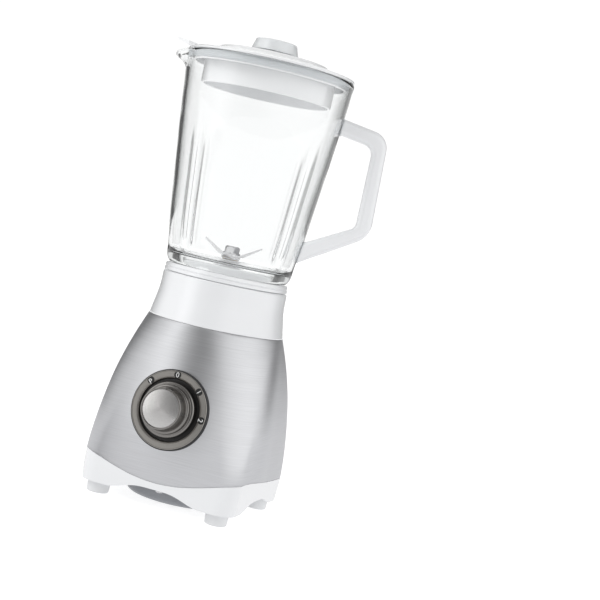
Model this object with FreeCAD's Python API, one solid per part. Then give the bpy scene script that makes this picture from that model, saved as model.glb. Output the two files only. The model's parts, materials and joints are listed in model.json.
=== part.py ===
"""Countertop blender: motor base, control dial, glass jug with blades, lid and cap.

Millimetres. +Z is up and z = 0 is the worktop. The origin is where the motor's axis meets the
worktop. The front, with the control dial, faces -Y. The jug's handle points along JUG_TURN.
"""

import FreeCAD, Part
import math
import os

V = FreeCAD.Vector
UP = V(0, 0, 1)

# ---------------------------------------------------------------- base, outside
FOOT_R = 9.7
FOOT_H = 10.0
FOOT_STEM_R = 4.0
FOOT_STEM_H = 7.0
BASE_HALF = 69.0
BASE_CORNER = 15.6
TRAY_WALL = 2.2
TRAY_RISE = 37.0
TRAY_FLOOR = 2.5
ARCH_HALF = 40.0
ARCH_H = 7.0
SKIN_T = 0.6
SKIN_TOP_Z = 153.0
# Lower edge of the steel above the worktop: front centre, front corner, side and back.
WAVE_FRONT = 22.8
WAVE_CORNER = 36.2
WAVE_SIDE = 32.8
WAVE_BACK = 30.0
SEAM = 0.3
FIT = 0.15
RUNNING_FIT = 0.05

# ---------------------------------------------------------------- neck and well
NECK_H = 38.0
NECK_TOP_R = 53.4
NECK_FLARE = 4.2
NECK_WALL = 3.2
WELL_DEPTH = 26.2
WELL_FLOOR_T = 3.0
WELL_HOLE_R = 17.0

# ---------------------------------------------------------------- control dial
DIAL_Z = 83.0
DIAL_TILT = 7.0
BEZEL_R = 33.0
BEZEL_FACE_R = 26.0
BEZEL_PROUD = 5.0
BEZEL_DEEP = 7.0
BEZEL_WALL = 2.0
KNOB_FLANGE_R = 22.6
KNOB_FLANGE_PROUD = 9.0
KNOB_STEP_R = 19.6
KNOB_FACE_R = 16.2
KNOB_PROUD = 25.0
SWITCH_SHAFT_R = 3.0
SWITCH_SIZE = 30.0
SWITCH_DEEP = 13.0

# ---------------------------------------------------------------- motor
SHAFT_R = 4.0
ARMATURE_R = 20.5
AIR_GAP = 0.6
STACK_H = 36.0
STATOR_X = 92.0
STATOR_Y = 84.0
YOKE = 8.0
SLOTS = 12
FAN_R = 34.0
FAN_H = 8.0
BEARING_R = 11.0
BEARING_H = 7.0
BRACKET_T = 8.0
BRACKET_W = 26.0
MOTOR_SCREW_R = 2.0
MOTOR_SCREW_X = 41.0
COMMUTATOR_R = 11.0
COMMUTATOR_H = 12.0
BRUSH_W = 6.0
BRUSH_H = 7.0
MOTOR_Z = 34.0

# ---------------------------------------------------------------- jug
JUG_TURN = 18.8
GLASS_TOP_R = 71.7
GLASS_WALL = 3.2
GLASS_FLOOR_T = 8.0
JUG_H = 176.4
JUG_NECK_WALL = 4.5
JUG_NECK_H = 18.0
RIB_DEPTH = 2.2
RIB_HALF_ANGLE = 7.0
SPOUT_REACH = 8.8
SPOUT_HALF_ANGLE = 21.0
HANDLE_REACH = 111.1
HANDLE_T = 13.8
HANDLE_TOP_DROP = 27.6
HANDLE_LOW = 17.0
HANDLE_W = 22.0
HANDLE_ROUND = 4.5
PAD_T = 0.7
COLLAR_H = 6.8
COLLAR_WALL = 4.4
COLLAR_LIP = 3.2

# ---------------------------------------------------------------- blades
BLADE_REACH = 25.0
BLADE_W = 12.0
BLADE_T = 1.5
BLADE_RISE = 10.0
COUPLER_R = 13.0
COUPLER_LUG_W = 3.4
COUPLER_LUGS = 6

# ---------------------------------------------------------------- lid and cap
LID_INSET = 0.6
LID_RIM_T = 3.0
LID_SHOULDER = 24.1
LID_DOME_H = 11.8
LID_WALL = 2.4
PLUG_INSET = 15.2
PLUG_DEPTH = 25.0
TONGUE_PAST_SPOUT = 0.9
CAP_R = 20.3
CAP_TOP_R = 17.4
CAP_H = 9.5
CAP_WALL = 1.6
CAP_NECK_R = 15.8
CAP_NECK_H = 22.0

# ---------------------------------------------------------------- derived places
TRAY_Z = FOOT_H
SKIN_TOP_R = NECK_TOP_R + NECK_FLARE
FOOT_PLACE = BASE_HALF - BASE_CORNER - 0.4
TRAY_TOP = TRAY_Z + TRAY_RISE
FLOOR_Z = TRAY_Z + ARCH_H + TRAY_FLOOR
LINER_OFFSET = SKIN_T + FIT
HOUSING_TOP = SKIN_TOP_Z - 2.2
NECK_Z = SKIN_TOP_Z + 0.2
NECK_TOP = NECK_Z + NECK_H
WELL_FLOOR = NECK_TOP - WELL_DEPTH
WELL_R = NECK_TOP_R - NECK_WALL - 0.8
COLLAR_Z = NECK_TOP + SEAM
GLASS_Z = COLLAR_Z + COLLAR_H + SEAM
GLASS_TOP = GLASS_Z + JUG_H
GLASS_FLOOR = GLASS_Z + GLASS_FLOOR_T
JUG_NECK_Z = GLASS_Z - JUG_NECK_H
COLLAR_R = NECK_TOP_R - 0.4
COLLAR_SKIRT_R = WELL_R - 0.5
JUG_NECK_R = COLLAR_SKIRT_R - COLLAR_WALL
JUG_NECK_BORE = JUG_NECK_R - JUG_NECK_WALL
GLASS_LOW_R = COLLAR_R - 2.6
LID_R = GLASS_TOP_R - LID_INSET
LID_DOME_R = LID_R - LID_SHOULDER
PLUG_R = GLASS_TOP_R - PLUG_INSET
TONGUE_REACH = GLASS_TOP_R + SPOUT_REACH + TONGUE_PAST_SPOUT
LID_Z = GLASS_TOP + SEAM
CAP_Z = LID_Z + LID_DOME_H + SEAM

# The steel body at fractions of its height: how much of the base's extra half width it still
# has there, and how far its corners have opened towards the circle at the top.
BODY_SECTIONS = (
    (0.00, 0.89, 0.00),
    (0.12, 0.99, 0.00),
    (0.25, 0.97, 0.03),
    (0.40, 0.88, 0.12),
    (0.52, 0.74, 0.18),
    (0.64, 0.56, 0.25),
    (0.76, 0.37, 0.41),
    (0.88, 0.18, 0.66),
    (1.00, 0.00, 1.00),
)

# Outside of the glass: the fraction of the jug's height, and of the way from its low to its
# top radius.
GLASS_PROFILE = (
    (0.000, 0.000),
    (0.010, 0.070),
    (0.030, 0.140),
    (0.053, 0.170),
    (0.090, 0.200),
    (0.140, 0.265),
    (0.210, 0.350),
    (0.300, 0.435),
    (0.400, 0.520),
    (0.520, 0.630),
    (0.630, 0.730),
    (0.740, 0.823),
    (0.830, 0.888),
    (0.895, 0.935),
    (0.935, 0.958),
    (0.958, 0.972),
    (0.970, 0.995),
    (0.988, 1.000),
    (1.000, 0.972),
)


# ================================================================ geometry helpers
def outline(corners):
    """Closed wire in the XZ plane. Each corner is (x, z), or (x, z, radius) where it is rounded."""
    count = len(corners)
    cuts = []
    for i, corner in enumerate(corners):
        here = V(corner[0], 0, corner[1])
        radius = corner[2] if len(corner) > 2 else 0
        if not radius:
            cuts.append((here, None, here))
            continue
        last = corners[i - 1]
        following = corners[(i + 1) % count]
        before = (V(last[0], 0, last[1]) - here).normalize()
        after = (V(following[0], 0, following[1]) - here).normalize()
        half = before.getAngle(after) / 2
        run = radius / math.tan(half)
        bisector = (before + after).normalize()
        middle = here + bisector * (radius / math.sin(half) - radius)
        cuts.append((here + before * run, middle, here + after * run))
    edges = []
    for i, (start, middle, end) in enumerate(cuts):
        if middle:
            edges.append(Part.Arc(start, middle, end).toShape())
        following = cuts[(i + 1) % count][0]
        if end.distanceToPoint(following) > 1e-6:
            edges.append(Part.makeLine(end, following))
    return Part.Wire(edges)


def turned(corners):
    """Solid of revolution about Z of an outline of (radius, height) corners."""
    return Part.Face(outline(corners)).revolve(V(0, 0, 0), UP, 360)


def ring(outer, inner, low, high):
    return turned(((inner, low), (outer, low), (outer, high), (inner, high)))


def rod(radius, low, high, x=0.0, y=0.0):
    return Part.makeCylinder(radius, high - low, V(x, y, low))


def block(size_x, size_y, low, high, x=0.0, y=0.0):
    corner = V(x - size_x / 2, y - size_y / 2, low)
    return Part.makeBox(size_x, size_y, high - low, corner)


def fused(shapes):
    whole = shapes[0]
    for shape in shapes[1:]:
        whole = whole.fuse(shape)
    return whole.removeSplitter()


def spun(shape, degrees):
    copy = shape.copy()
    copy.rotate(V(0, 0, 0), UP, degrees)
    return copy


def around(shape, count, first=0.0):
    """The same shape at equal steps about Z."""
    return [spun(shape, first + 360.0 * i / count) for i in range(count)]


def bump(angle, half_angle):
    """1 in the middle, falling smoothly to 0 at the half angle, in degrees."""
    away = abs((angle + 180.0) % 360.0 - 180.0)
    return 0.0 if away >= half_angle else math.cos(math.pi * away / half_angle / 2) ** 2


def smooth_curve(points):
    curve = Part.BSplineCurve()
    curve.interpolate([V(*point) for point in points])
    return curve.toShape()


def under_curve(points, floor, sweep):
    """Solid between a level floor and a smooth curve, drawn in a plane and swept along a vector."""
    top = smooth_curve(points)
    first, last = V(*points[0]), V(*points[-1])
    low_first = V(first.x, first.y, floor)
    low_last = V(last.x, last.y, floor)
    sides = [Part.makeLine(low_first, first), top, Part.makeLine(last, low_last)]
    face = Part.Face(Part.Wire(sides + [Part.makeLine(low_last, low_first)]))
    return face.extrude(sweep)


# ================================================================ outer form of the base
def rounded_square(half, corner, z):
    """Wire of a level square with round corners, as four sides and four arcs."""
    flat = half - corner
    edges = []
    for turn in range(4):
        side = Part.makeLine(V(half, -flat, z), V(half, flat, z))
        reach = corner * math.sqrt(0.5)
        arc = Part.Arc(V(half, flat, z), V(flat + reach, flat + reach, z), V(flat, half, z))
        for edge in (side, arc.toShape()):
            edge.rotate(V(0, 0, 0), UP, 90 * turn)
            edges.append(edge)
    return Part.Wire(edges)


def body_section(fraction, wide, open_share):
    """Height, half width and corner radius of one section of the base's outer form."""
    z = TRAY_Z + fraction * (SKIN_TOP_Z - TRAY_Z)
    half = SKIN_TOP_R + wide * (BASE_HALF - SKIN_TOP_R)
    return z, half, BASE_CORNER + open_share * (SKIN_TOP_R - 0.8 - BASE_CORNER)


def body_form(offset):
    """The base's outer form, moved inwards by the offset: square below and round above."""
    wires = []
    for section in BODY_SECTIONS:
        z, half, corner = body_section(*section)
        wires.append(rounded_square(half - offset, corner - offset, z))
    return Part.makeLoft(wires, True, False)


def slab(low, high):
    return block(4 * BASE_HALF, 4 * BASE_HALF, low, high)


def below_wave(drop):
    """Everything under the steel's lower edge, which dips at the front, lowered by a gap."""
    half = BASE_HALF
    far = 3 * half
    front = []
    steps = ((-1.5, 1.0), (-1.0, 1.0), (-0.87, 0.89), (-0.72, 0.68), (-0.51, 0.37), (-0.3, 0.13), (0, 0))
    for across, share in steps:
        height = WAVE_FRONT + share * (WAVE_CORNER - WAVE_FRONT) - drop
        front.append((across * half, -far, height))
    front += [(-x, y, z) for x, y, z in reversed(front[:-1])]
    break_y = BASE_CORNER - half
    front_part = under_curve(front, -1.0, V(0, far + break_y, 0))
    side = (
        (-far, break_y, WAVE_CORNER - drop),
        (-far, break_y + half * 0.4, WAVE_CORNER - drop - 1.0),
        (-far, 0.0, WAVE_SIDE - drop),
        (-far, half * 0.6, WAVE_BACK + 0.6 - drop),
        (-far, half * 1.5, WAVE_BACK - drop),
    )
    side_part = under_curve(side, -1.0, V(2 * far, 0, 0))
    return front_part.fuse(side_part)


def dial_placed(shape):
    """Move a shape drawn about local Z, with z = 0 on the dial's face plane, to the base's front."""
    placed = shape.copy()
    placed.rotate(V(0, 0, 0), V(1, 0, 0), 90 - DIAL_TILT)
    placed.translate(V(0, -DIAL_FACE, DIAL_Z))
    return placed


def half_width_at(z):
    """Half width of the base's form at a height, between its sections."""
    sections = [body_section(*section) for section in BODY_SECTIONS]
    for low, high in zip(sections, sections[1:]):
        if z <= high[0]:
            return low[1] + (z - low[0]) / (high[0] - low[0]) * (high[1] - low[1])
    return SKIN_TOP_R


DIAL_FACE = half_width_at(DIAL_Z)
GROMMET_Z = FLOOR_Z + 15.0
GROMMET_R = 6.0
GROMMET_FLANGE_R = 8.5
CORD_BORE_R = 3.6
PLUNGER_R = 2.5
PLUNGER_AT = WELL_R - 11.4
NECK_SCREW_AT = WELL_R - 5.4
SCREW_R = 1.5
COVER_FLANGE_R = 58.0
COVER_SCREW_AT = COVER_FLANGE_R - 6.0
COVER_BOSS_R = 46.0
COVER_Z = 3.0
COVER_T = 2.0
COVER_TOP = FLOOR_Z - TRAY_FLOOR - 0.2
TRAY_HOLE_R = COVER_BOSS_R - 4.0
SWITCH_LONG = 20.0
KNOB_LOW = 1.9
BEZEL_FLOOR_TOP = 1.0


# ================================================================ base nodes
def steel_skin():
    shell = body_form(0).cut(body_form(SKIN_T)).cut(below_wave(0))
    shell = shell.cut(dial_placed(rod(BEZEL_R + FIT, -30, 30)))
    return shell.cut(grommet_hole())


def grommet_hole():
    hole = Part.makeCylinder(GROMMET_R + FIT, 30.0, V(0, BASE_HALF - 15.0, GROMMET_Z), V(0, 1, 0))
    return hole


def base_tray():
    band = body_form(0).common(below_wave(SEAM))
    riser = body_form(LINER_OFFSET).common(slab(TRAY_Z, TRAY_TOP))
    inside = body_form(LINER_OFFSET + TRAY_WALL).common(slab(TRAY_Z, TRAY_TOP))
    walls = band.fuse(riser).cut(inside)
    floor = body_form(LINER_OFFSET + 1.0).common(slab(FLOOR_Z - TRAY_FLOOR, FLOOR_Z))
    posts = []
    for x, y in foot_places():
        posts.append(rod(BASE_CORNER - LINER_OFFSET - 0.5, TRAY_Z, FLOOR_Z, x, y).common(body_form(LINER_OFFSET)))
    bosses = []
    for place in around(rod(4.0, FLOOR_Z - 1, FLOOR_Z + 9, COVER_SCREW_AT), 4):
        bosses.append(place)
    tray = fused([walls, floor] + posts + bosses)
    tray = tray.cut(rod(TRAY_HOLE_R, 0, TRAY_TOP))
    for x, y in foot_places():
        tray = tray.cut(rod(FOOT_STEM_R + FIT, 0, TRAY_Z + FOOT_STEM_H + FIT, x, y))
    for hole in around(rod(SCREW_R + RUNNING_FIT, 0, FLOOR_Z + 7, COVER_SCREW_AT), 4):
        tray = tray.cut(hole)
    for arch in arches():
        tray = tray.cut(arch)
    tray = tray.cut(dial_placed(rod(BEZEL_R + FIT, -30, 30)))
    return tray.cut(grommet_hole())


def arches():
    """Shallow arches in the tray's lower edge, one on each side."""
    low, high = TRAY_Z - 0.1, TRAY_Z + ARCH_H
    far = -1.2 * BASE_HALF
    points = [(-ARCH_HALF, far, low), (-ARCH_HALF * 0.72, far, low + ARCH_H * 0.42)]
    points += [(-ARCH_HALF * 0.45, far, high - ARCH_H * 0.14), (0, far, high)]
    points += [(-x, y, z) for x, y, z in reversed(points[:-1])]
    depth = BASE_CORNER - BASE_HALF - far - 1.0
    return around(under_curve(points, -1.0, V(0, depth, 0)), 4)


def foot_places():
    return [(x * FOOT_PLACE, y * FOOT_PLACE) for y in (-1, 1) for x in (-1, 1)]


def foot():
    """Soft foot with a stem that plugs into the tray's corner post."""
    profile = (
        (0, 0),
        (FOOT_R - 0.6, 0, 1.4),
        (FOOT_R, TRAY_Z),
        (FOOT_STEM_R, TRAY_Z),
        (FOOT_STEM_R, TRAY_Z + FOOT_STEM_H, 0.8),
        (0, TRAY_Z + FOOT_STEM_H),
    )
    return turned(profile)


def bottom_cover():
    """Cover with a deep round boss, and slots in its floor where the cooling air leaves."""
    profile = (
        (0, COVER_Z),
        (COVER_BOSS_R, COVER_Z, 3.5),
        (COVER_BOSS_R, COVER_TOP - COVER_T),
        (COVER_FLANGE_R, COVER_TOP - COVER_T),
        (COVER_FLANGE_R, COVER_TOP),
        (COVER_BOSS_R - COVER_T, COVER_TOP),
        (COVER_BOSS_R - COVER_T, COVER_Z + COVER_T, 1.5),
        (0, COVER_Z + COVER_T),
    )
    cover = turned(profile)
    slot = block(COVER_BOSS_R * 0.5, 3.0, 0, COVER_Z + COVER_T + 1, COVER_BOSS_R * 0.6)
    for cut in around(slot, 16, 11.25):
        cover = cover.cut(cut)
    for hole in around(rod(SCREW_R + FIT, 0, FLOOR_Z, COVER_SCREW_AT), 4):
        cover = cover.cut(hole)
    return cover


def pan_screw(head_r, head_h, shank_r, seat, length):
    """Screw that points up: its head ends at the seat and its shank goes on above it."""
    head = turned(((0, seat - head_h), (head_r, seat - head_h, 0.6), (head_r, seat), (0, seat)))
    shank = turned(((0, seat - 0.2), (shank_r, seat - 0.2), (shank_r, seat + length, 0.5), (0, seat + length)))
    drive = block(head_r * 1.2, 0.7, seat - head_h - 1, seat - head_h + 0.8)
    return fused([head, shank]).cut(drive).cut(spun(drive, 90))


def cover_screws():
    screw = pan_screw(3.2, 2.2, SCREW_R, COVER_TOP - COVER_T, 10.0)
    screw.translate(V(COVER_SCREW_AT, 0, 0))
    return Part.makeCompound(around(screw, 4))


def neck_screws():
    screw = pan_screw(3.2, 2.2, SCREW_R, HOUSING_TOP - TRAY_FLOOR, 9.0)
    screw.translate(V(NECK_SCREW_AT, 0, 0))
    return Part.makeCompound(around(screw, 4, 45.0))


def inner_housing():
    """Plastic liner behind the steel: it carries the motor and, on its deck, the neck."""
    low = TRAY_TOP + 0.2
    outer = body_form(LINER_OFFSET).common(slab(low, HOUSING_TOP))
    inner = body_form(LINER_OFFSET + TRAY_WALL).common(slab(low, HOUSING_TOP - TRAY_FLOOR))
    housing = outer.cut(inner)
    posts = [rod(6.0, DAMPER_TOP, HOUSING_TOP - 1, x) for x in (-MOTOR_SCREW_X, MOTOR_SCREW_X)]
    housing = fused([housing] + posts)
    for x in (-MOTOR_SCREW_X, MOTOR_SCREW_X):
        housing = housing.cut(rod(MOTOR_SCREW_R + RUNNING_FIT, DAMPER_TOP - 1, HOUSING_TOP - 4, x))
    for hole in around(rod(SCREW_R + FIT, 0, NECK_TOP, NECK_SCREW_AT), 4, 45.0):
        housing = housing.cut(hole)
    housing = housing.cut(rod(WELL_HOLE_R, HOUSING_TOP - 10, HOUSING_TOP + 1))
    housing = housing.cut(block(SWITCH_LONG + 1.0, 8.0, HOUSING_TOP - 10, HOUSING_TOP + 1, 0, PLUNGER_AT))
    return housing.cut(dial_placed(rod(BEZEL_R + FIT, -30, 30)))


def neck():
    """White ring on the base with the deep well that takes the jug's collar."""
    deck = HOUSING_TOP
    profile = (
        (WELL_R, NECK_TOP, 1.2),
        (WELL_R, WELL_FLOOR, 2.0),
        (WELL_HOLE_R, WELL_FLOOR),
        (WELL_HOLE_R, WELL_FLOOR - WELL_FLOOR_T),
        (WELL_R - 1.5, WELL_FLOOR - WELL_FLOOR_T, 2.0),
        (WELL_R + 1.0, NECK_Z),
        (SKIN_TOP_R, NECK_Z),
        (SKIN_TOP_R, NECK_Z + 0.8),
        (NECK_TOP_R + 2.6, NECK_Z + NECK_H * 0.25, 40.0),
        (NECK_TOP_R + 0.3, NECK_Z + NECK_H * 0.6, 60.0),
        (NECK_TOP_R, NECK_TOP, 1.6),
    )
    parts = [turned(profile)]
    for boss in around(rod(4.0, deck, WELL_FLOOR - 1, NECK_SCREW_AT), 4, 45.0):
        parts.append(boss)
    whole = fused(parts)
    for hole in around(rod(SCREW_R + RUNNING_FIT, deck - 1, WELL_FLOOR - 1.5, NECK_SCREW_AT), 4, 45.0):
        whole = whole.cut(hole)
    return whole.cut(rod(PLUNGER_R + RUNNING_FIT, deck, WELL_FLOOR + 1, 0, PLUNGER_AT))


def shaft_seal():
    """Rubber washer with an upstanding lip that keeps spills out of the motor."""
    low = WELL_FLOOR - WELL_FLOOR_T
    profile = (
        (SHAFT_R + 1.0, low),
        (WELL_HOLE_R - FIT, low),
        (WELL_HOLE_R - FIT, WELL_FLOOR - 0.3),
        (SHAFT_R + 4.0, WELL_FLOOR - 0.6),
        (SHAFT_R + 2.2, WELL_FLOOR + 0.7),
        (SHAFT_R + 1.0, WELL_FLOOR + 0.7),
    )
    return turned(profile)


def cord_grommet():
    """Rubber outlet for the mains cord in the back of the tray, with its bore along Y."""
    wall = half_width_at(GROMMET_Z)
    inside = LINER_OFFSET + TRAY_WALL
    profile = (
        (CORD_BORE_R, -9.0),
        (GROMMET_R + 1.6, -9.0, 1.0),
        (GROMMET_R + 1.6, -inside - 0.5),
        (GROMMET_R, -inside - 0.5),
        (GROMMET_R, 0.4),
        (GROMMET_FLANGE_R, 0.4),
        (GROMMET_FLANGE_R, 2.4, 1.2),
        (CORD_BORE_R + 1.8, 6.0, 0.8),
        (CORD_BORE_R, 6.0),
    )
    shape = turned(profile)
    shape.rotate(V(0, 0, 0), V(1, 0, 0), -90)
    shape.translate(V(0, wall, GROMMET_Z))
    return shape


def interlock_switch():
    """Small snap switch under the well, which lets the motor run only with the jug in place."""
    top = WELL_FLOOR - WELL_FLOOR_T - 3.2
    body = block(SWITCH_LONG, 6.4, top - 10.0, top, 0, PLUNGER_AT)
    button = block(2.4, 2.6, top - 1, top + 1.0, 0, PLUNGER_AT)
    tags = [block(0.8, 4.8, top - 14.0, top - 9.0, x, PLUNGER_AT) for x in (-8, 0, 8)]
    switch = fused([body, button] + tags)
    for x in (-4.8, 4.8):
        hole = Part.makeCylinder(1.5, 20, V(x, PLUNGER_AT - 10, top - 7.0), V(0, 1, 0))
        switch = switch.cut(hole)
    return switch


def interlock_plunger():
    """Pin that the jug's collar presses down on to the snap switch."""
    low = WELL_FLOOR - WELL_FLOOR_T - 2.0
    high = COLLAR_BOTTOM - SEAM
    head = turned(((0, low), (PLUNGER_R, low), (PLUNGER_R, high, 1.0), (0, high)))
    head.translate(V(0, PLUNGER_AT, 0))
    return head


def noise_capacitor():
    low = FLOOR_Z + 0.2
    body = block(26.0, 11.0, low, low + 20.0, -30.0, 44.0)
    body = body.makeFillet(1.5, body.Edges)
    legs = [rod(0.5, low + 19.0, low + 25.0, x, 44.0) for x in (-37.0, -23.0)]
    return fused([body] + legs)


# ================================================================ dial nodes
def dial_bezel():
    profile = (
        (SWITCH_SHAFT_R + 1.5, -1.0),
        (BEZEL_R - BEZEL_WALL, -1.0),
        (BEZEL_R - BEZEL_WALL, -BEZEL_DEEP),
        (BEZEL_R, -BEZEL_DEEP),
        (BEZEL_R, BEZEL_PROUD, 0.9),
        (BEZEL_FACE_R, BEZEL_PROUD - 0.3, 0.5),
        (BEZEL_FACE_R - 0.4, BEZEL_FLOOR_TOP),
        (SWITCH_SHAFT_R + 1.5, BEZEL_FLOOR_TOP),
    )
    bezel = turned(profile)
    for x in (-11.0, 11.0):
        bezel = bezel.cut(rod(SCREW_R + FIT, -3, 3, x)).cut(rod(2.9, 0.1, 3, x))
    return dial_placed(bezel)


def switch_body():
    body = block(SWITCH_SIZE, SWITCH_SIZE, -SWITCH_DEEP - 1.2, -1.2)
    body = body.makeFillet(2.0, [e for e in body.Edges if abs(e.tangentAt(0).z) > 0.9])
    tags = [block(1.0, 5.0, -SWITCH_DEEP - 6.0, -SWITCH_DEEP, x, y) for x in (-9, 0, 9) for y in (-7, 7)]
    switch = fused([body] + tags)
    switch = switch.cut(rod(SWITCH_SHAFT_R + RUNNING_FIT, -SWITCH_DEEP + 4, 0))
    for x in (-11.0, 11.0):
        switch = switch.cut(rod(SCREW_R + RUNNING_FIT, -10, 0, x))
    return dial_placed(switch)


def switch_screws():
    screws = []
    for x in (-11.0, 11.0):
        head = rod(2.6, 0.15, 0.85, x)
        shank = rod(SCREW_R, -9, 0.3, x)
        screws.append(dial_placed(fused([head, shank])))
    return Part.makeCompound(screws)


def switch_shaft():
    shaft = turned(((0, -SWITCH_DEEP + 4.6), (SWITCH_SHAFT_R, -SWITCH_DEEP + 4.6), (SWITCH_SHAFT_R, 17.0, 0.6), (0, 17.0)))
    flat = block(10, 10, 6.0, 20.0, 0, SWITCH_SHAFT_R + 4.2)
    return dial_placed(shaft.cut(flat))


def knob():
    """Stepped knob with a round flange, and a notch at its top that points at the marks."""
    profile = (
        (0, 6.0),
        (KNOB_STEP_R - 3.0, 6.0),
        (KNOB_STEP_R - 3.0, KNOB_LOW),
        (KNOB_FLANGE_R, KNOB_LOW),
        (KNOB_FLANGE_R, KNOB_FLANGE_PROUD, 1.6),
        (KNOB_STEP_R + 0.6, KNOB_FLANGE_PROUD, 0.5),
        (KNOB_STEP_R, KNOB_FLANGE_PROUD + 4.4, 0.8),
        (KNOB_FACE_R + 2.0, KNOB_FLANGE_PROUD + 4.6, 0.4),
        (KNOB_FACE_R + 0.6, KNOB_PROUD, 1.0),
        (KNOB_FACE_R - 0.8, KNOB_PROUD, 0.3),
        (KNOB_FACE_R - 0.8, KNOB_PROUD - 1.0),
        (0, KNOB_PROUD - 1.0),
    )
    body = turned(profile)
    socket = rod(SWITCH_SHAFT_R + RUNNING_FIT, 5.0, 17.2)
    socket = socket.cut(block(10, 10, 6.0, 20.0, 0, SWITCH_SHAFT_R + 4.25))
    notch = Part.makeCone(1.7, 2.6, 4.0, V(0, KNOB_FACE_R + 1.2, KNOB_PROUD - 2.6), UP)
    return dial_placed(body.cut(socket).cut(notch))


def knob_face():
    """Thin spun metal disc set into the knob's end."""
    low = KNOB_PROUD - 1.0
    edge = KNOB_FACE_R - 0.8 - 0.05
    disc = turned(((0, low), (edge, low), (edge, KNOB_PROUD - 0.1, 0.3), (0, KNOB_PROUD - 0.5)))
    notch = Part.makeCone(1.7, 2.6, 4.0, V(0, KNOB_FACE_R + 1.2, KNOB_PROUD - 2.6), UP)
    return dial_placed(disc.cut(notch))


# ================================================================ motor
LOWER_BRACKET_Z = MOTOR_Z
FAN_Z = LOWER_BRACKET_Z + BRACKET_T + 4.0
COIL_END = 6.0
STACK_Z = FAN_Z + FAN_H + COIL_END + 2.0
STACK_TOP = STACK_Z + STACK_H
COMMUTATOR_Z = STACK_TOP + COIL_END + 2.0
UPPER_BRACKET_Z = COMMUTATOR_Z + COMMUTATOR_H
DAMPER_H = 5.0
DAMPER_TOP = UPPER_BRACKET_Z + BRACKET_T + DAMPER_H
SHAFT_TOP = WELL_FLOOR + 12.0
BORE_R = ARMATURE_R + AIR_GAP


def bearing_bracket(low, cup_low):
    """Pressed bar across the motor, with a cup that holds a ball bearing."""
    bar = block(STATOR_X - 2.0, BRACKET_W, low, low + BRACKET_T)
    bar = bar.makeFillet(5.0, [e for e in bar.Edges if abs(e.tangentAt(0).z) > 0.9])
    bar = fused([bar, rod(BRACKET_W / 2 + 3, low, low + BRACKET_T)])
    bar = bar.cut(rod(BEARING_R + 0.02, cup_low, cup_low + BEARING_H + 0.02))
    bar = bar.cut(rod(SHAFT_R + 3.0, low - 1, low + BRACKET_T + 1))
    for x in (-MOTOR_SCREW_X, MOTOR_SCREW_X):
        bar = bar.cut(rod(MOTOR_SCREW_R + FIT, low - 1, low + BRACKET_T + 1, x))
    return bar


def lower_motor_bracket():
    return bearing_bracket(LOWER_BRACKET_Z, LOWER_BRACKET_Z)


def upper_motor_bracket():
    return bearing_bracket(UPPER_BRACKET_Z, UPPER_BRACKET_Z + BRACKET_T - BEARING_H)


def ball_bearing(low):
    """Closed bearing: outer and inner lands with a recessed shield between them."""
    high = low + BEARING_H
    bore = SHAFT_R + RUNNING_FIT
    profile = (
        (bore, low),
        (bore + 2.0, low),
        (bore + 2.2, low + 0.5),
        (BEARING_R - 2.0, low + 0.5),
        (BEARING_R - 1.8, low),
        (BEARING_R, low, 0.3),
        (BEARING_R, high, 0.3),
        (BEARING_R - 1.8, high),
        (BEARING_R - 2.0, high - 0.5),
        (bore + 2.2, high - 0.5),
        (bore + 2.0, high),
        (bore, high),
    )
    return turned(profile)


def motor_stator():
    """Laminated core: a square yoke with two pole pieces that reach in to the armature."""
    outer = block(STATOR_X, STATOR_Y, STACK_Z, STACK_TOP)
    outer = outer.makeFillet(9.0, [e for e in outer.Edges if abs(e.tangentAt(0).z) > 0.9])
    window = block(STATOR_X - 2 * YOKE - 6, STATOR_Y - 2 * YOKE, STACK_Z - 1, STACK_TOP + 1)
    core = outer.cut(window)
    pole = block(24.0, STATOR_Y - 2 * YOKE + 1, STACK_Z, STACK_TOP)
    shoe_form = ring(BORE_R + 3.5, BORE_R, STACK_Z, STACK_TOP)
    shoe = shoe_form.common(block(36.0, STATOR_Y, STACK_Z, STACK_TOP))
    core = fused([core, pole.cut(rod(BORE_R + 1.0, STACK_Z - 1, STACK_TOP + 1)), shoe])
    core = core.cut(rod(BORE_R, STACK_Z - 1, STACK_TOP + 1))
    for x in (-MOTOR_SCREW_X, MOTOR_SCREW_X):
        core = core.cut(rod(MOTOR_SCREW_R + FIT, STACK_Z - 1, STACK_TOP + 1, x))
    return core


def field_coils():
    """One racetrack winding round each pole, with rounded end turns."""
    near = BORE_R + 4.2
    far = STATOR_Y / 2 - YOKE - 0.6
    middle = (near + far) / 2
    coil = block(52.0, far - near, STACK_Z - COIL_END, STACK_TOP + COIL_END, 0, middle)
    coil = coil.makeFillet(5.0, [e for e in coil.Edges if abs(e.tangentAt(0).y) > 0.9])
    coil = coil.cut(block(25.0, 60.0, STACK_Z - 0.5, STACK_TOP + 0.5, 0, middle))
    return Part.makeCompound([coil, spun(coil, 180)])


def armature_core():
    core = rod(ARMATURE_R, STACK_Z, STACK_TOP).cut(rod(SHAFT_R, STACK_Z - 1, STACK_TOP + 1))
    slot = rod(2.4, STACK_Z - 1, STACK_TOP + 1, ARMATURE_R - 4.0)
    mouth = block(6.0, 1.6, STACK_Z - 1, STACK_TOP + 1, ARMATURE_R)
    for cut in around(fused([slot, mouth]), SLOTS):
        core = core.cut(cut)
    return core


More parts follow.
